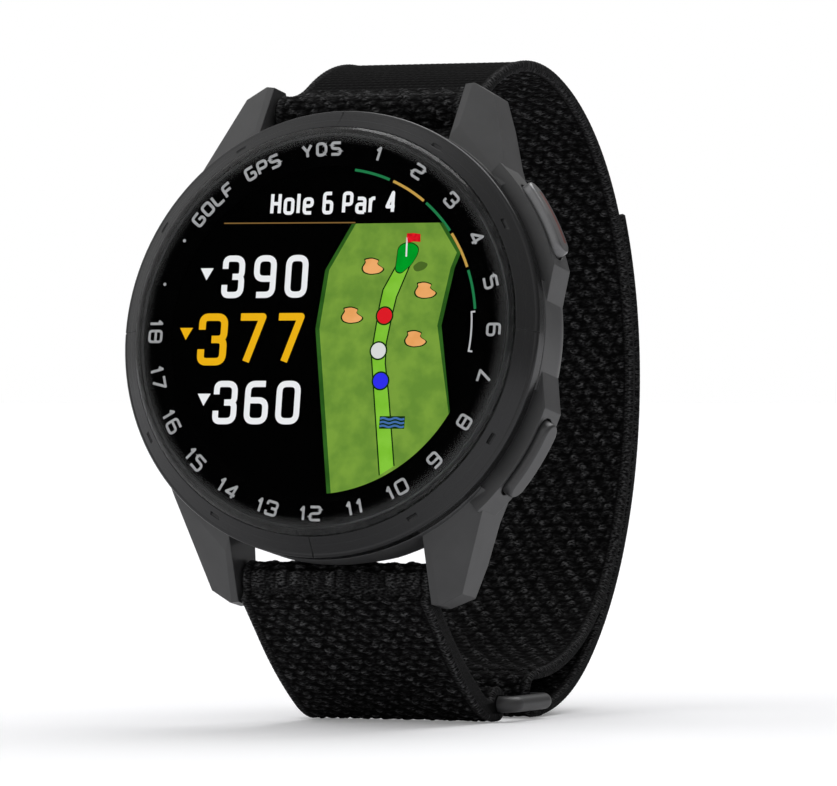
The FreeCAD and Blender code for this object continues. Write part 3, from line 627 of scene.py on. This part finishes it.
# ---- the picture on the screen, in millimetres across and up from the dial's middle ----
FIELD_LEFT = [(2.67, 10.3), (0.21, 5.84), (-0.39, 0.15), (1.91, -15.2)]
FIELD_RIGHT = [(13.16, -7.8), (11.79, 0.43), (12.76, 5.94), (13.3, 7.4), (11.3, 10.3)]
FAIRWAY_LEFT = [(6.86, -13.9), (5.68, -5.77), (5.2, -2.4), (5.3, -1.2), (5.7, 2.4), (5.95, 3.9), (7.2, 6.3)]
FAIRWAY_RIGHT = [(8.6, 6.3), (7.39, 3.14), (7.1, 1.6), (6.66, -1.27), (6.7, -3.2), (7.26, -6.16),
                 (8.31, -13.0)]
GREEN = [(7.25, 7.95), (7.85, 8.35), (8.7, 8.35), (9.35, 7.9), (9.25, 7.2), (8.7, 6.3), (7.7, 5.45),
         (7.1, 5.7)]
BUNKER = [(-1.15, -0.1), (-0.8, 0.45), (-0.95, 0.7), (-0.2, 0.85), (0.55, 0.6), (0.35, 0.3), (0.6, 0.1),
          (1.15, -0.2), (0.7, -0.6), (-0.3, -0.72), (-0.95, -0.5)]
BUNKERS = [(4.79, 6.1), (10.4, 3.75), (2.97, 1.39), (9.7, -0.9)]
BALLS = {"red": (6.29, 1.38), "white": (5.9, -1.97), "blue": (6.33, -4.87)}
BALL_R = 0.76
BALL_RIM = 0.16
FAIRWAY_LINE = 0.14
FIELD_BORDER = 0.42
BALL_COLOURS = {"red": (0.75, 0.012, 0.02), "white": (0.72, 0.72, 0.72), "blue": (0.03, 0.03, 0.85)}
FLAG = [(8.05, 9.3), (8.75, 9.32), (9.45, 9.22), (9.5, 8.45), (8.8, 8.5), (8.05, 8.38)]
DIGIT_ROWS = (
    ("390", "white", (-6.5, 5.25), (2.35, 4.15), 0.6, 0.98, (-12.65, 5.55)),
    ("377", "amber", (-7.55, -0.83), (3.05, 5.05), 0.72, 0.95, (-14.4, -0.25)),
    ("360", "white", (-6.45, -6.95), (2.5, 4.2), 0.6, 0.8, (-12.02, -6.65)),
)
MARKER = ((-0.68, 0.55), (0.0, -0.62), (0.68, 0.55))
ARC_R = 15.66
ARCS = (("green", 8.0, 22.0), ("gold", 23.5, 37.5), ("green", 38.7, 52.6), ("gold", 53.8, 67.4),
        ("green", 68.6, 82.7))
BRACKET = (83.6, 97.6, 15.3, 15.68)


def smooth_outline(points, radius=0.35):
    return rounded(points, radius, closed=True, steps=5)


def offset_outline(points, centre, scale):
    return [(centre[0] + scale * x, centre[1] + scale * y) for x, y in points]


def clipped(points, radius):
    """An outline kept inside the round screen."""
    inside = []
    for x, y in points:
        reach = math.hypot(x, y)
        shrink = min(1.0, radius / reach) if reach else 1.0
        inside.append((x * shrink, y * shrink))
    return inside


def field_outline(grow):
    """The hole's ground, widened by grow at its left and right, with its foot along the screen's edge."""
    left = [(x - grow, y) for x, y in FIELD_LEFT]
    right = [(x + grow, y) for x, y in FIELD_RIGHT]
    start = math.degrees(math.atan2(left[-1][0], left[-1][1]))
    end = math.degrees(math.atan2(right[0][0], right[0][1]))
    foot = [on_clock(SCREEN_R, start + (end - start) * i / 24) for i in range(25)]
    return clipped(left[:-1] + foot + right[1:], SCREEN_R)


def make_hole_map(depth):
    """The plan of one hole: rough, fairway, green with its flag, bunkers, balls and water."""
    outline_ink = lit("map_outline", (0.006, 0.03, 0.004))
    layers = [
        ("map_edge", (0.02, 0.085, 0.01), (0.03, 0.12, 0.015), FIELD_BORDER),
        ("map_rough", (0.135, 0.27, 0.035), (0.195, 0.35, 0.045), 0.0),
    ]
    for step, (name, colour, second, grow) in enumerate(layers):
        layer = Print(name, lit(name, colour, 1.0, second), depth - LAYER * step)
        layer.shape(field_outline(grow))
        layer.place()
    depth -= LAYER * len(layers)

    fairway = clipped(FAIRWAY_LEFT + FAIRWAY_RIGHT, SCREEN_R)
    strip = Print("map_fairway", lit("map_fairway", (0.2, 0.52, 0.03), 1.0, (0.24, 0.58, 0.045)), depth)
    strip.shape(fairway)
    strip.place()
    shade = Print("map_flag_shadow", lit("map_flag_shadow", (0.07, 0.14, 0.02)), depth)
    shade.shape(smooth_outline([(8.8, 6.1), (9.6, 6.65), (10.5, 6.35), (10.1, 5.8), (9.2, 5.55)]))
    shade.place()
    depth -= LAYER

    lines = Print("map_outlines", outline_ink, depth)
    lines.stroke(FAIRWAY_LEFT, FAIRWAY_LINE)
    lines.stroke(FAIRWAY_RIGHT, FAIRWAY_LINE)
    for centre in BALLS.values():
        lines.disc(centre, BALL_R + BALL_RIM)
    for centre in BUNKERS:
        lines.shape(offset_outline(smooth_outline(BUNKER), centre, 1.12))
    lines.shape(offset_outline(smooth_outline([(x - 8.2, y - 7.0) for x, y in GREEN]), (8.2, 7.0), 1.07))
    lines.shape([(6.5, -9.45), (9.1, -9.45), (9.1, -8.25), (6.5, -8.25)])
    lines.place()
    depth -= LAYER

    sand = Print("map_bunkers", lit("map_bunkers", (0.83, 0.36, 0.11), 1.0, (0.9, 0.42, 0.15)), depth)
    for centre in BUNKERS:
        sand.shape(offset_outline(smooth_outline(BUNKER), centre, 0.97))
    sand.place()
    green = Print("map_green", lit("map_green", (0.0, 0.27, 0.015), 1.0, (0.0, 0.34, 0.02)), depth)
    green.shape(smooth_outline(GREEN))
    green.place()
    for name, centre in BALLS.items():
        ball = Print(f"map_ball_{name}", lit(f"map_ball_{name}", BALL_COLOURS[name]), depth)
        ball.disc(centre, BALL_R)
        ball.place()
    water = Print("map_water", lit("map_water", (0.06, 0.16, 0.42)), depth)
    for row in range(3):
        base = -8.5 - 0.36 * row
        wave = [(6.55 + 0.1 * i, base + 0.07 * math.sin(0.5 * i)) for i in range(26)]
        water.stroke(wave, 0.19)
    water.place()
    depth -= LAYER

    pole = Print("map_pole", lit("map_pole", (0.8, 0.8, 0.8)), depth)
    pole.stroke([(8.13, 7.05), (8.08, 8.9)], 0.16)
    pole.place()
    flag = Print("map_flag", lit("map_flag", (0.8, 0.01, 0.02), 1.0, (0.55, 0.005, 0.012), 2.5), depth)
    flag.shape(FLAG)
    flag.place()


def make_readings(depth):
    """Three distances with their markers."""
    inks = {"white": lit("digit_white", grey(0.86)), "amber": lit("digit_amber", (0.86, 0.45, 0.008))}
    prints = {name: Print(f"reading_{name}", ink, depth) for name, ink in inks.items()}
    for text, ink, (u, v), size, stroke, gap, (mark_u, mark_v) in DIGIT_ROWS:
        write(prints[ink], text, size, stroke, gap, 0.75, lambda x, y: (u + x, v + y))
        marker = [(mark_u + x, mark_v + y) for x, y in MARKER]
        prints[ink].shape(marker)
    for ready in prints.values():
        ready.place()


def make_title(depth):
    """The hole's number and par over a thin gold rule."""
    title = Print("title_text", lit("title_white", grey(0.86)), depth)
    write(title, "Hole 6 Par 4", (1.12, 2.2), 0.34, 0.26, 0.3, lambda x, y: (0.15 + x, 12.33 + y))
    title.place()
    rule = Print("title_rule", lit("title_gold", (0.22, 0.12, 0.035)), depth)
    rule.stroke([(-11.2, 10.48), (2.6, 10.4)], 0.12)
    rule.place()


def make_arcs(depth):
    """The coloured arc beside the numbers 1 to 5, and the bracket at 6."""
    colours = {"green": (0.015, 0.19, 0.065), "gold": (0.55, 0.33, 0.07)}
    for name, colour in colours.items():
        band = Print(f"arc_{name}", lit(f"arc_{name}", colour), depth)
        for which, start, end in ARCS:
            if which == name:
                band.stroke([on_clock(ARC_R, start + (end - start) * i / 12) for i in range(13)], 0.26)
        band.place()
    start, end, inner, outer = BRACKET
    bracket = Print("arc_bracket", lit("arc_bracket", grey(0.5)), depth)
    sweep = [on_clock(inner, start + (end - start) * i / 10) for i in range(11)]
    bracket.stroke([on_clock(outer, start)] + sweep + [on_clock(outer, end)], 0.17)
    bracket.place()


# ---- the strap's fabric ----
def side_loops(name):
    """The outlines of a strap solid's side in (y, z) mm: the outer one, turning left, and then its bores."""
    mesh = frame["nodes"][name].data
    side_x = min(v.co.x for v in mesh.vertices) + 1e-6
    spots = [(round(v.co.y / MM, 4), round(v.co.z / MM, 4)) for v in mesh.vertices]
    uses = Counter()
    for face in mesh.polygons:
        if all(mesh.vertices[i].co.x < side_x for i in face.vertices):
            ring = [spots[i] for i in face.vertices]
            uses.update(zip(ring, ring[1:] + ring[:1]))
    follows = {a: b for a, b in uses if (b, a) not in uses}
    loops = []
    while follows:
        start, point = follows.popitem()
        loop = [start]
        while point != start:
            loop.append(point)
            point = follows.pop(point)
        loops.append(loop)
    loops.sort(key=lambda loop: min(p[0] for p in loop) - max(p[0] for p in loop))
    return [loop if turns_left(loop) else loop[::-1] for loop in loops]


def turns_left(outline):
    pairs = zip(outline, outline[1:] + outline[:1])
    return sum(a[0] * b[1] - b[0] * a[1] for a, b in pairs) > 0


def closest_ends(first, second):
    """Where two outlines meet: the index just after each one's end edge that lies closest to the other's."""
    best = None
    for i, a in enumerate(first):
        b = first[(i + 1) % len(first)]
        if not END_EDGE[0] < math.dist(a, b) < END_EDGE[1]:
            continue
        for j, c in enumerate(second):
            d = second[(j + 1) % len(second)]
            if not END_EDGE[0] < math.dist(c, d) < END_EDGE[1]:
                continue
            gap = math.dist(a, d) + math.dist(b, c)
            if best is None or gap < best[0]:
                best = (gap, i + 1, j + 1)
    return best[1:]


def joined(first, second):
    """Two outlines that meet along an end, as one."""
    i, j = closest_ends(first, second)
    return first[i:] + first[:i] + second[j:] + second[:j]


def meeting_point(first, second):
    """The middle of the end where two outlines meet."""
    i, _ = closest_ends(first, second)
    return (np.array(first[i - 1]) + np.array(first[i % len(first)])) / 2


def evenly(outline, step, softenings=3):
    """The outline again with points evenly spaced, its corners softened, and its whole length."""
    points = np.array(outline + outline[:1])
    lengths = np.hypot(*np.diff(points, axis=0).T)
    along = np.concatenate([[0.0], np.cumsum(lengths)])
    count = round(along[-1] / step)
    places = np.linspace(0.0, along[-1], count, endpoint=False)
    ring = np.stack([np.interp(places, along, points[:, axis]) for axis in (0, 1)], axis=1)
    for _ in range(softenings):
        ring = 0.5 * ring + 0.25 * (np.roll(ring, 1, axis=0) + np.roll(ring, -1, axis=0))
    return ring, along[-1]


def scatter(row, column, salt):
    """A repeatable number from 0 to 1 for each loop of yarn."""
    mixed = np.sin(row * 127.1 + column * 311.7 + salt * 74.7) * 43758.5453
    return mixed - np.floor(mixed)


def drawn(place, x, along, waves):
    """A place pulled out of line by waves of the yarn."""
    for size, per_x, per_along in waves:
        place = place + size * np.sin(per_x * x + per_along * along)
    return place


def knit(x, along):
    """The height, from 0 to 1, of loops of yarn that lie in slanting rows, each a little out of line."""
    pitch_x, pitch_y = KNIT_PITCH
    drawn_x = drawn(x, x, along, WAVES_ACROSS)
    drawn_y = drawn(along, x, along, WAVES_ALONG)
    row = np.floor(drawn_y / pitch_y + 0.5)
    slant = drawn_x / pitch_x + KNIT_SHIFT * row
    column = np.floor(slant + 0.5)
    across = slant - column + LOOP_SHIFT * (scatter(row, column, 1) - 0.5)
    up = drawn_y / pitch_y - row + LOOP_SHIFT * (scatter(row, column, 2) - 0.5)
    turn = LOOP_TURN + LOOP_TURN_SPREAD * (scatter(row, column, 3) - 0.5)
    half_across, half_up = LOOP_HALF
    spread = ((across + turn * up) / half_across) ** 2 + ((up - 0.5 * turn * across) / half_up) ** 2
    loop = np.clip((1.0 - spread) / LOOP_ROUNDING, 0.0, 1.0)
    wale = WALE_LEAST + (1 - WALE_LEAST) * np.sin(2 * math.pi * (x - WALE_SLANT * along) / WALE_PITCH)
    return loop * wale * (LOOP_LEAST + (1 - LOOP_LEAST) * scatter(row, column, 4))


def ribs(x, along):
    """The height of the fine ribs across the outside of the long strap."""
    rib = np.abs(np.sin(math.pi * along / RIB_PITCH))
    dots = np.sin(2 * math.pi * x / RIB_DOT_PITCH + 2.2 * np.floor(along / RIB_PITCH))
    return RIB_BASE + RIB_RISE * rib * (0.75 + 0.25 * dots)


def stitched_band(x, along):
    """The height of the tight upright bars sewn along the front of the short strap's roll."""
    place = x / BAR_STITCH_PITCH + 0.12 * np.sin(7.0 * x)
    bar = np.abs(np.sin(math.pi * place)) ** 0.6
    return BAR_BASE + BAR_RISE * bar * (0.4 + 0.6 * scatter(np.floor(place), 0 * along, 5))


def bound(height, x, along):
    """A fabric height with the smooth binding sewn along both edges."""
    inward = STRAP_HALF - np.abs(x)
    # The ridge and the seam shape the relief, and through the stored height they also paint the binding
    # lighter on the ridge and darker in the seam: painted highlight and painted shade.
    ridge = np.exp(-(((inward - RIDGE_INSET) / SEAM_HALF) ** 2))
    binding = BINDING_HEIGHT + 0.05 * np.sin(along * 9.0 + np.abs(x) * 4.0) + 0.25 * ridge
    seam = np.exp(-(((inward - BINDING) / SEAM_HALF) ** 2))
    share = np.clip((inward - BINDING) / 0.2, 0.0, 1.0)
    return np.clip(((1 - share) * binding + share * height) * (1 - SEAM_DEPTH * seam), 0.0, 1.0)


def long_strap_surface(x, along, ring):
    """Loops inside and beside the watch, and fine ribs over the outside."""
    step = np.roll(ring, -1, axis=0) - np.roll(ring, 1, axis=0)
    faces_up = (ring[:, 1] > RIBS_ABOVE) & (step[:, 0] < 0)
    ribbed = faces_up & (ring[:, 0] > UPPER_BAR.y / MM + RIBS_BEHIND_BAR)
    return bound(np.where(ribbed, ribs(x, along), knit(x, along)), x, along)


def tail_surface(x, along, ring):
    return bound(knit(x, along), x, along)


def short_strap_surface(x, along, ring):
    """Loops, with the stitched band and a plain band under it on the roll."""
    rise = ring[:, 1] - LOWER_BAR.z / MM
    on_roll = np.hypot(ring[:, 0] - LOWER_BAR.y / MM, rise) < ROLL_R
    front = on_roll & (ring[:, 0] < LOWER_BAR.y / MM)
    height = knit(x, along)
    in_band = np.abs(rise - BAND_MIDDLE) < BAND_HALF
    height = np.where(front & in_band, stitched_band(x, along), height)
    height = np.where(front & (rise < PLAIN_BELOW), PLAIN_HEIGHT, height)
    return bound(height, x, along)


def hook_surface(x, along, ring):
    """A lattice of short stems."""
    return np.abs(np.sin(math.pi * x / HOOK_PITCH) * np.sin(math.pi * along / HOOK_PITCH)) ** 0.6


def columns_across(half_width, edge):
    """The places of the mesh's columns across the strap, and how far each is rounded in."""
    turns = [math.radians(a) for a in (90, 65, 45, 25, 10)]
    rounding = [(half_width - EDGE_ROUND * (1 - math.sin(t)), edge * (1 - math.cos(t))) for t in turns]
    count = round(2 * (half_width - EDGE_ROUND) / STRAP_STEP)
    middle = [(x, 0.0) for x in np.linspace(half_width - EDGE_ROUND, EDGE_ROUND - half_width, count)]
    return rounding + middle + [(-x, inset) for x, inset in reversed(rounding)]


def fabric(name, loops, half_width, edge, relief, slot, surface, meets=None):
    """A strip of fabric from the outlines of its side, with its surface in relief and its bores left smooth.

    surface gives the height of the fabric from 0 to 1 at a place across, along and on the outline.
    At the end face round the point meets, the strip is full thickness and laps its neighbour by END_LAP.
    """
    ring, length = evenly(loops[0], STRAP_STEP)
    count = len(ring)
    tangent = np.roll(ring, -1, axis=0) - np.roll(ring, 1, axis=0)
    tangent /= np.linalg.norm(tangent, axis=1)[:, None]
    outward = np.stack([tangent[:, 1], -tangent[:, 0]], axis=1)
    along = np.arange(count) * length / count
    free = np.ones(count)
    if meets is not None:
        free = np.clip((np.linalg.norm(ring - meets, axis=1) - END_FULL) / END_FADE, 0.0, 1.0)
    rows, heights = [], []
    for x, inset in columns_across(half_width, edge):
        height = surface(x, along, ring)
        depth = free * (inset + relief * (1 - height)) - (1 - free) * END_LAP
        spots = ring - outward * depth[:, None]
        rows.append(np.column_stack([np.full(count, x), spots]))
        heights.append(height)
    vertices = np.concatenate(rows)
    runs = np.tile(along, len(rows))
    faces = []
    for place in range(len(rows) - 1):
        faces += strip(place * count, (place + 1) * count, count)
    sides = [[np.arange(count)], [np.arange(count) + (len(rows) - 1) * count]]
    for bore in loops[1:]:
        circle, _ = evenly(bore, STRAP_STEP, 0)
        start, size = len(vertices), len(circle)
        for side, x in zip(sides, (half_width, -half_width)):
            side.append(np.arange(size) + len(vertices))
            vertices = np.concatenate([vertices, np.column_stack([np.full(size, x), circle])])
        runs = np.concatenate([runs, np.zeros(2 * size)])
        faces += strip(start, start + size, size)
    for side in sides:
        order = np.concatenate(side)
        triangles = tessellate_polygon([[Vector(vertices[i]) for i in loop] for loop in side])
        faces += [tuple(order[i] for i in triangle) for triangle in triangles]
    piece = new_piece(name, vertices * MM, faces, MATERIALS[slot], None, slot, smooth=True)
    face_outward(piece.data)
    lay_cloth_coords(piece.data, vertices[:, 0], runs, length)
    # The heights are kept on the mesh for the strap's material, which paints the high places paler and the
    # low ones darker: painted highlight and painted shade.
    height_for_painted_shade = piece.data.attributes.new("height_for_painted_shade", "FLOAT", "POINT")
    known = np.concatenate(heights)
    height_for_painted_shade.data.foreach_set("value", np.concatenate([known, np.zeros(len(vertices) - len(known))]))
    return piece


def strip(here, there, count):
    """The faces between two closed rows of vertices."""
    return [(here + i, there + i, there + (i + 1) % count, here + (i + 1) % count) for i in range(count)]


def face_outward(mesh):
    mended = bmesh.new()
    mended.from_mesh(mesh)
    bmesh.ops.recalc_face_normals(mended, faces=mended.faces)
    mended.to_mesh(mesh)
    mended.free()


def lay_cloth_coords(mesh, across, runs, length):
    """UV coordinates in millimetres across and along the fabric, unbroken where its outline closes."""
    corners = np.zeros(len(mesh.loops), dtype=int)
    mesh.loops.foreach_get("vertex_index", corners)
    sizes = [len(face.vertices) for face in mesh.polygons]
    starts = np.concatenate([[0], np.cumsum(sizes)[:-1]])
    run = runs[corners]
    far = np.repeat(np.maximum.reduceat(run, starts), sizes)
    run = np.where((far > length / 2) & (run < 1.0), run + length, run)
    layer = mesh.uv_layers.new(name="cloth")
    layer.data.foreach_set("uv", np.column_stack([across[corners], run]).astype(np.float32).ravel())


def cut_notch(piece, bar, low, high):
    """The gap in a roll of fabric, from low to high above the bar, for the release lever."""
    tool_mesh = bpy.data.meshes.new("notch")
    cube = bmesh.new()
    bmesh.ops.create_cube(cube, size=1.0)
    start, end = NOTCH_X
    height = bar.z / MM + (low + high) / 2
    middle = Vector(((start + end) / 2, bar.y / MM + NOTCH_DEPTH / 2, height)) * MM
    for vertex in cube.verts:
        x, y, z = vertex.co
        vertex.co = middle + Vector((x * (end - start), y * NOTCH_DEPTH, z * (high - low))) * MM
    cube.to_mesh(tool_mesh)
    cube.free()
    tool = bpy.data.objects.new("notch", tool_mesh)
    bpy.context.scene.collection.objects.link(tool)
    carve = piece.modifiers.new("notch", "BOOLEAN")
    carve.operation = "DIFFERENCE"
    carve.solver = "EXACT"
    carve.object = tool
    graph = bpy.context.evaluated_depsgraph_get()
    shaped = bpy.data.meshes.new_from_object(piece.evaluated_get(graph))
    piece.modifiers.clear()
    piece.data = shaped
    bpy.data.objects.remove(tool)


def cut_length(loops):
    """The length of the flat strip that makes a fabric piece, half way round its outlines, in metres."""
    return sum(evenly(loop, STRAP_STEP, 0)[1] for loop in loops) / 2 * MM


def make_strap():
    """The long strap through the ring, its free end with the hook tape, and the short doubled strap."""

    fold = side_loops("strap_fold")[0]
    outer = side_loops("strap_tail")[0]
    seam = meeting_point(fold, outer)
    upper_loops = side_loops("upper_strap")
    inner_loops = [joined(upper_loops[0], fold)] + upper_loops[1:]
    inner = fabric("long_strap_inner", inner_loops, STRAP_HALF, STRAP_EDGE, RELIEF, "strap_fabric",
                   long_strap_surface, seam)
    cut_notch(inner, UPPER_BAR, *UPPER_NOTCH)
    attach(inner, "upper_strap")
    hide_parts("upper_strap", "strap_fold")

    tail_loops = [joined(outer, side_loops("tail_tab")[0])]
    tail = fabric("long_strap_tail", tail_loops, STRAP_HALF, TAIL_EDGE, TAIL_RELIEF, "strap_fabric",
                  tail_surface, seam)
    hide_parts("strap_tail", "tail_tab")
    bend = Vector(TAB_BEND_AXIS).normalized() * TAB_BEND_REACH * MM
    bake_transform(tail, "upper_strap", "tail_tab", start=TAB_HINGE - bend, end=TAB_HINGE + bend)

    tape_loops = side_loops("hook_patch")
    tape = fabric("hook_tape", tape_loops, HOOK_HALF, HOOK_EDGE, HOOK_RELIEF, "hook_fabric",
                  hook_surface)
    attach(tape, "tail_tab")
    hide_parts("hook_patch")

    short_loops = side_loops("lower_strap")
    short = fabric("short_strap", short_loops, STRAP_HALF, STRAP_EDGE, RELIEF, "strap_fabric",
                   short_strap_surface)
    cut_notch(short, LOWER_BAR, *LOWER_NOTCH)
    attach(short, "lower_strap")
    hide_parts("lower_strap")

    cut_length(inner_loops)
    cut_length(tail_loops)
    cut_length(short_loops)
    cut_length(tape_loops)


# ---- the springs ----
def make_springs():
    """The four coil springs, each a copy of its part that rides on that part's body."""
    for joint in frame["joints"]:
        for spring in joint.get("deforming_nodes", []):
            cad = frame["nodes"][spring["node"]]
            axis = Vector(joint["axis"]).normalized()
            reach = [axis.dot(vertex.co) for vertex in cad.data.vertices]
            piece = bpy.data.objects.new(cad.name + "_coil", cad.data.copy())
            bpy.context.scene.collection.objects.link(piece)
            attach(piece, body_of(cad)[0])
            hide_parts(cad.name)
            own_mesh(piece)


# ---- the studio ----
CAMERA_TURN = math.radians(23.5)
CAMERA_DISTANCE = 600.0
CAMERA_TARGET = Vector((8.364, -16.363, 32.03))
CAMERA_LENS = 271.7
SENSOR_WIDTH = 36.0
WORLD_DARK = 0.06
WORLD_BRIGHT = 0.75
FLOOR_COLOUR = 0.87
FLOOR_GLOW = 0.2
FLOOR_HALF = 30.0  # metres
BRIGHT_SIDE = (-0.6, -0.6, 0.55)
# Each light's name, the way towards it, its strength and its spread in degrees.
SUNS = (("key_light", (-0.65, -0.5, 0.75), 0.3, 60), ("back_light", (0.1, 0.6, 1.0), 1.4, 50))


def make_camera():
    data = bpy.data.cameras.new("camera")
    data.sensor_width = SENSOR_WIDTH
    data.sensor_fit = "HORIZONTAL"
    data.lens = CAMERA_LENS
    data.clip_start = 0.01
    data.clip_end = 20.0
    camera = bpy.data.objects.new("camera", data)
    bpy.context.scene.collection.objects.link(camera)
    away = Vector((math.sin(CAMERA_TURN), -math.cos(CAMERA_TURN), 0))
    camera.location = (CAMERA_TARGET + away * CAMERA_DISTANCE) * MM
    camera.rotation_euler = (math.radians(90), 0, CAMERA_TURN)
    bpy.context.scene.camera = camera


def make_sun(name, towards, strength, spread):
    """A soft far light from a direction, as wide as its spread in degrees."""
    data = bpy.data.lights.new(name, "SUN")
    data.energy = strength
    data.angle = math.radians(spread)
    light = bpy.data.objects.new(name, data)
    bpy.context.scene.collection.objects.link(light)
    light.rotation_euler = Vector(towards).to_track_quat("Z", "Y").to_euler()


def make_floor():
    """A pale floor that takes the shadow. It gives off a little light that only the camera sees."""
    material, tree = blank("studio_floor")
    grain = noise(tree, part_coords(tree), 0.02)
    tone = ramp(tree, grain, (0.4, grey(FLOOR_COLOUR - 0.01)), (0.6, grey(FLOOR_COLOUR)))
    seen = node(tree, "LightPath").outputs["Is Camera Ray"]
    inputs = {"Base Color": tone, "Roughness": 0.9, "Specular IOR Level": 0.0, "Emission Color": (1, 1, 1, 1),
              "Emission Strength": between(tree, seen, 0.0, FLOOR_GLOW)}
    output(tree, node(tree, "BsdfPrincipled", inputs))
    half = FLOOR_HALF
    corners = [(-half, -half, 0), (half, -half, 0), (half, half, 0), (-half, half, 0)]
    mesh = bpy.data.meshes.new("studio_floor")
    mesh.from_pydata(corners, [], [(0, 1, 2, 3)])
    mesh.materials.append(material)
    floor = bpy.data.objects.new("studio_floor", mesh)
    bpy.context.scene.collection.objects.link(floor)


def make_world():
    """White behind the object. As light it is grey, brighter towards the upper left than the lower right."""
    world = bpy.data.worlds.new("studio")
    bpy.context.scene.world = world
    world.use_nodes = True
    tree = world.node_tree
    tree.nodes.clear()
    direction = node(tree, "TexCoord").outputs["Generated"]
    sides = {0: direction, 1: Vector(BRIGHT_SIDE).normalized()}
    facing = node(tree, "VectorMath", sides, operation="DOT_PRODUCT").outputs["Value"]
    spread = {"Value": facing, "From Min": -1.0, "From Max": 1.0,
              "To Min": WORLD_DARK, "To Max": WORLD_BRIGHT}
    glow = node(tree, "MapRange", spread).outputs[0]
    seen = node(tree, "LightPath").outputs["Is Camera Ray"]
    strength = maths(tree, "MAXIMUM", glow, seen)
    light = node(tree, "Background", {"Color": (1, 1, 1, 1), "Strength": strength})
    node(tree, "OutputWorld", {"Surface": light.outputs[0]})


def make_studio():
    make_camera()
    make_floor()
    make_world()
    bpy.context.scene.view_settings.view_transform = "Standard"
    for sun in SUNS:
        make_sun(*sun)


make_studio()
dress_cad_nodes()
make_number_ring()
make_hole_map(PANEL_FRONT - LAYER)
make_readings(PANEL_FRONT - LAYER)
make_title(PANEL_FRONT - LAYER)
make_arcs(PANEL_FRONT - LAYER)
make_strap()
make_springs()
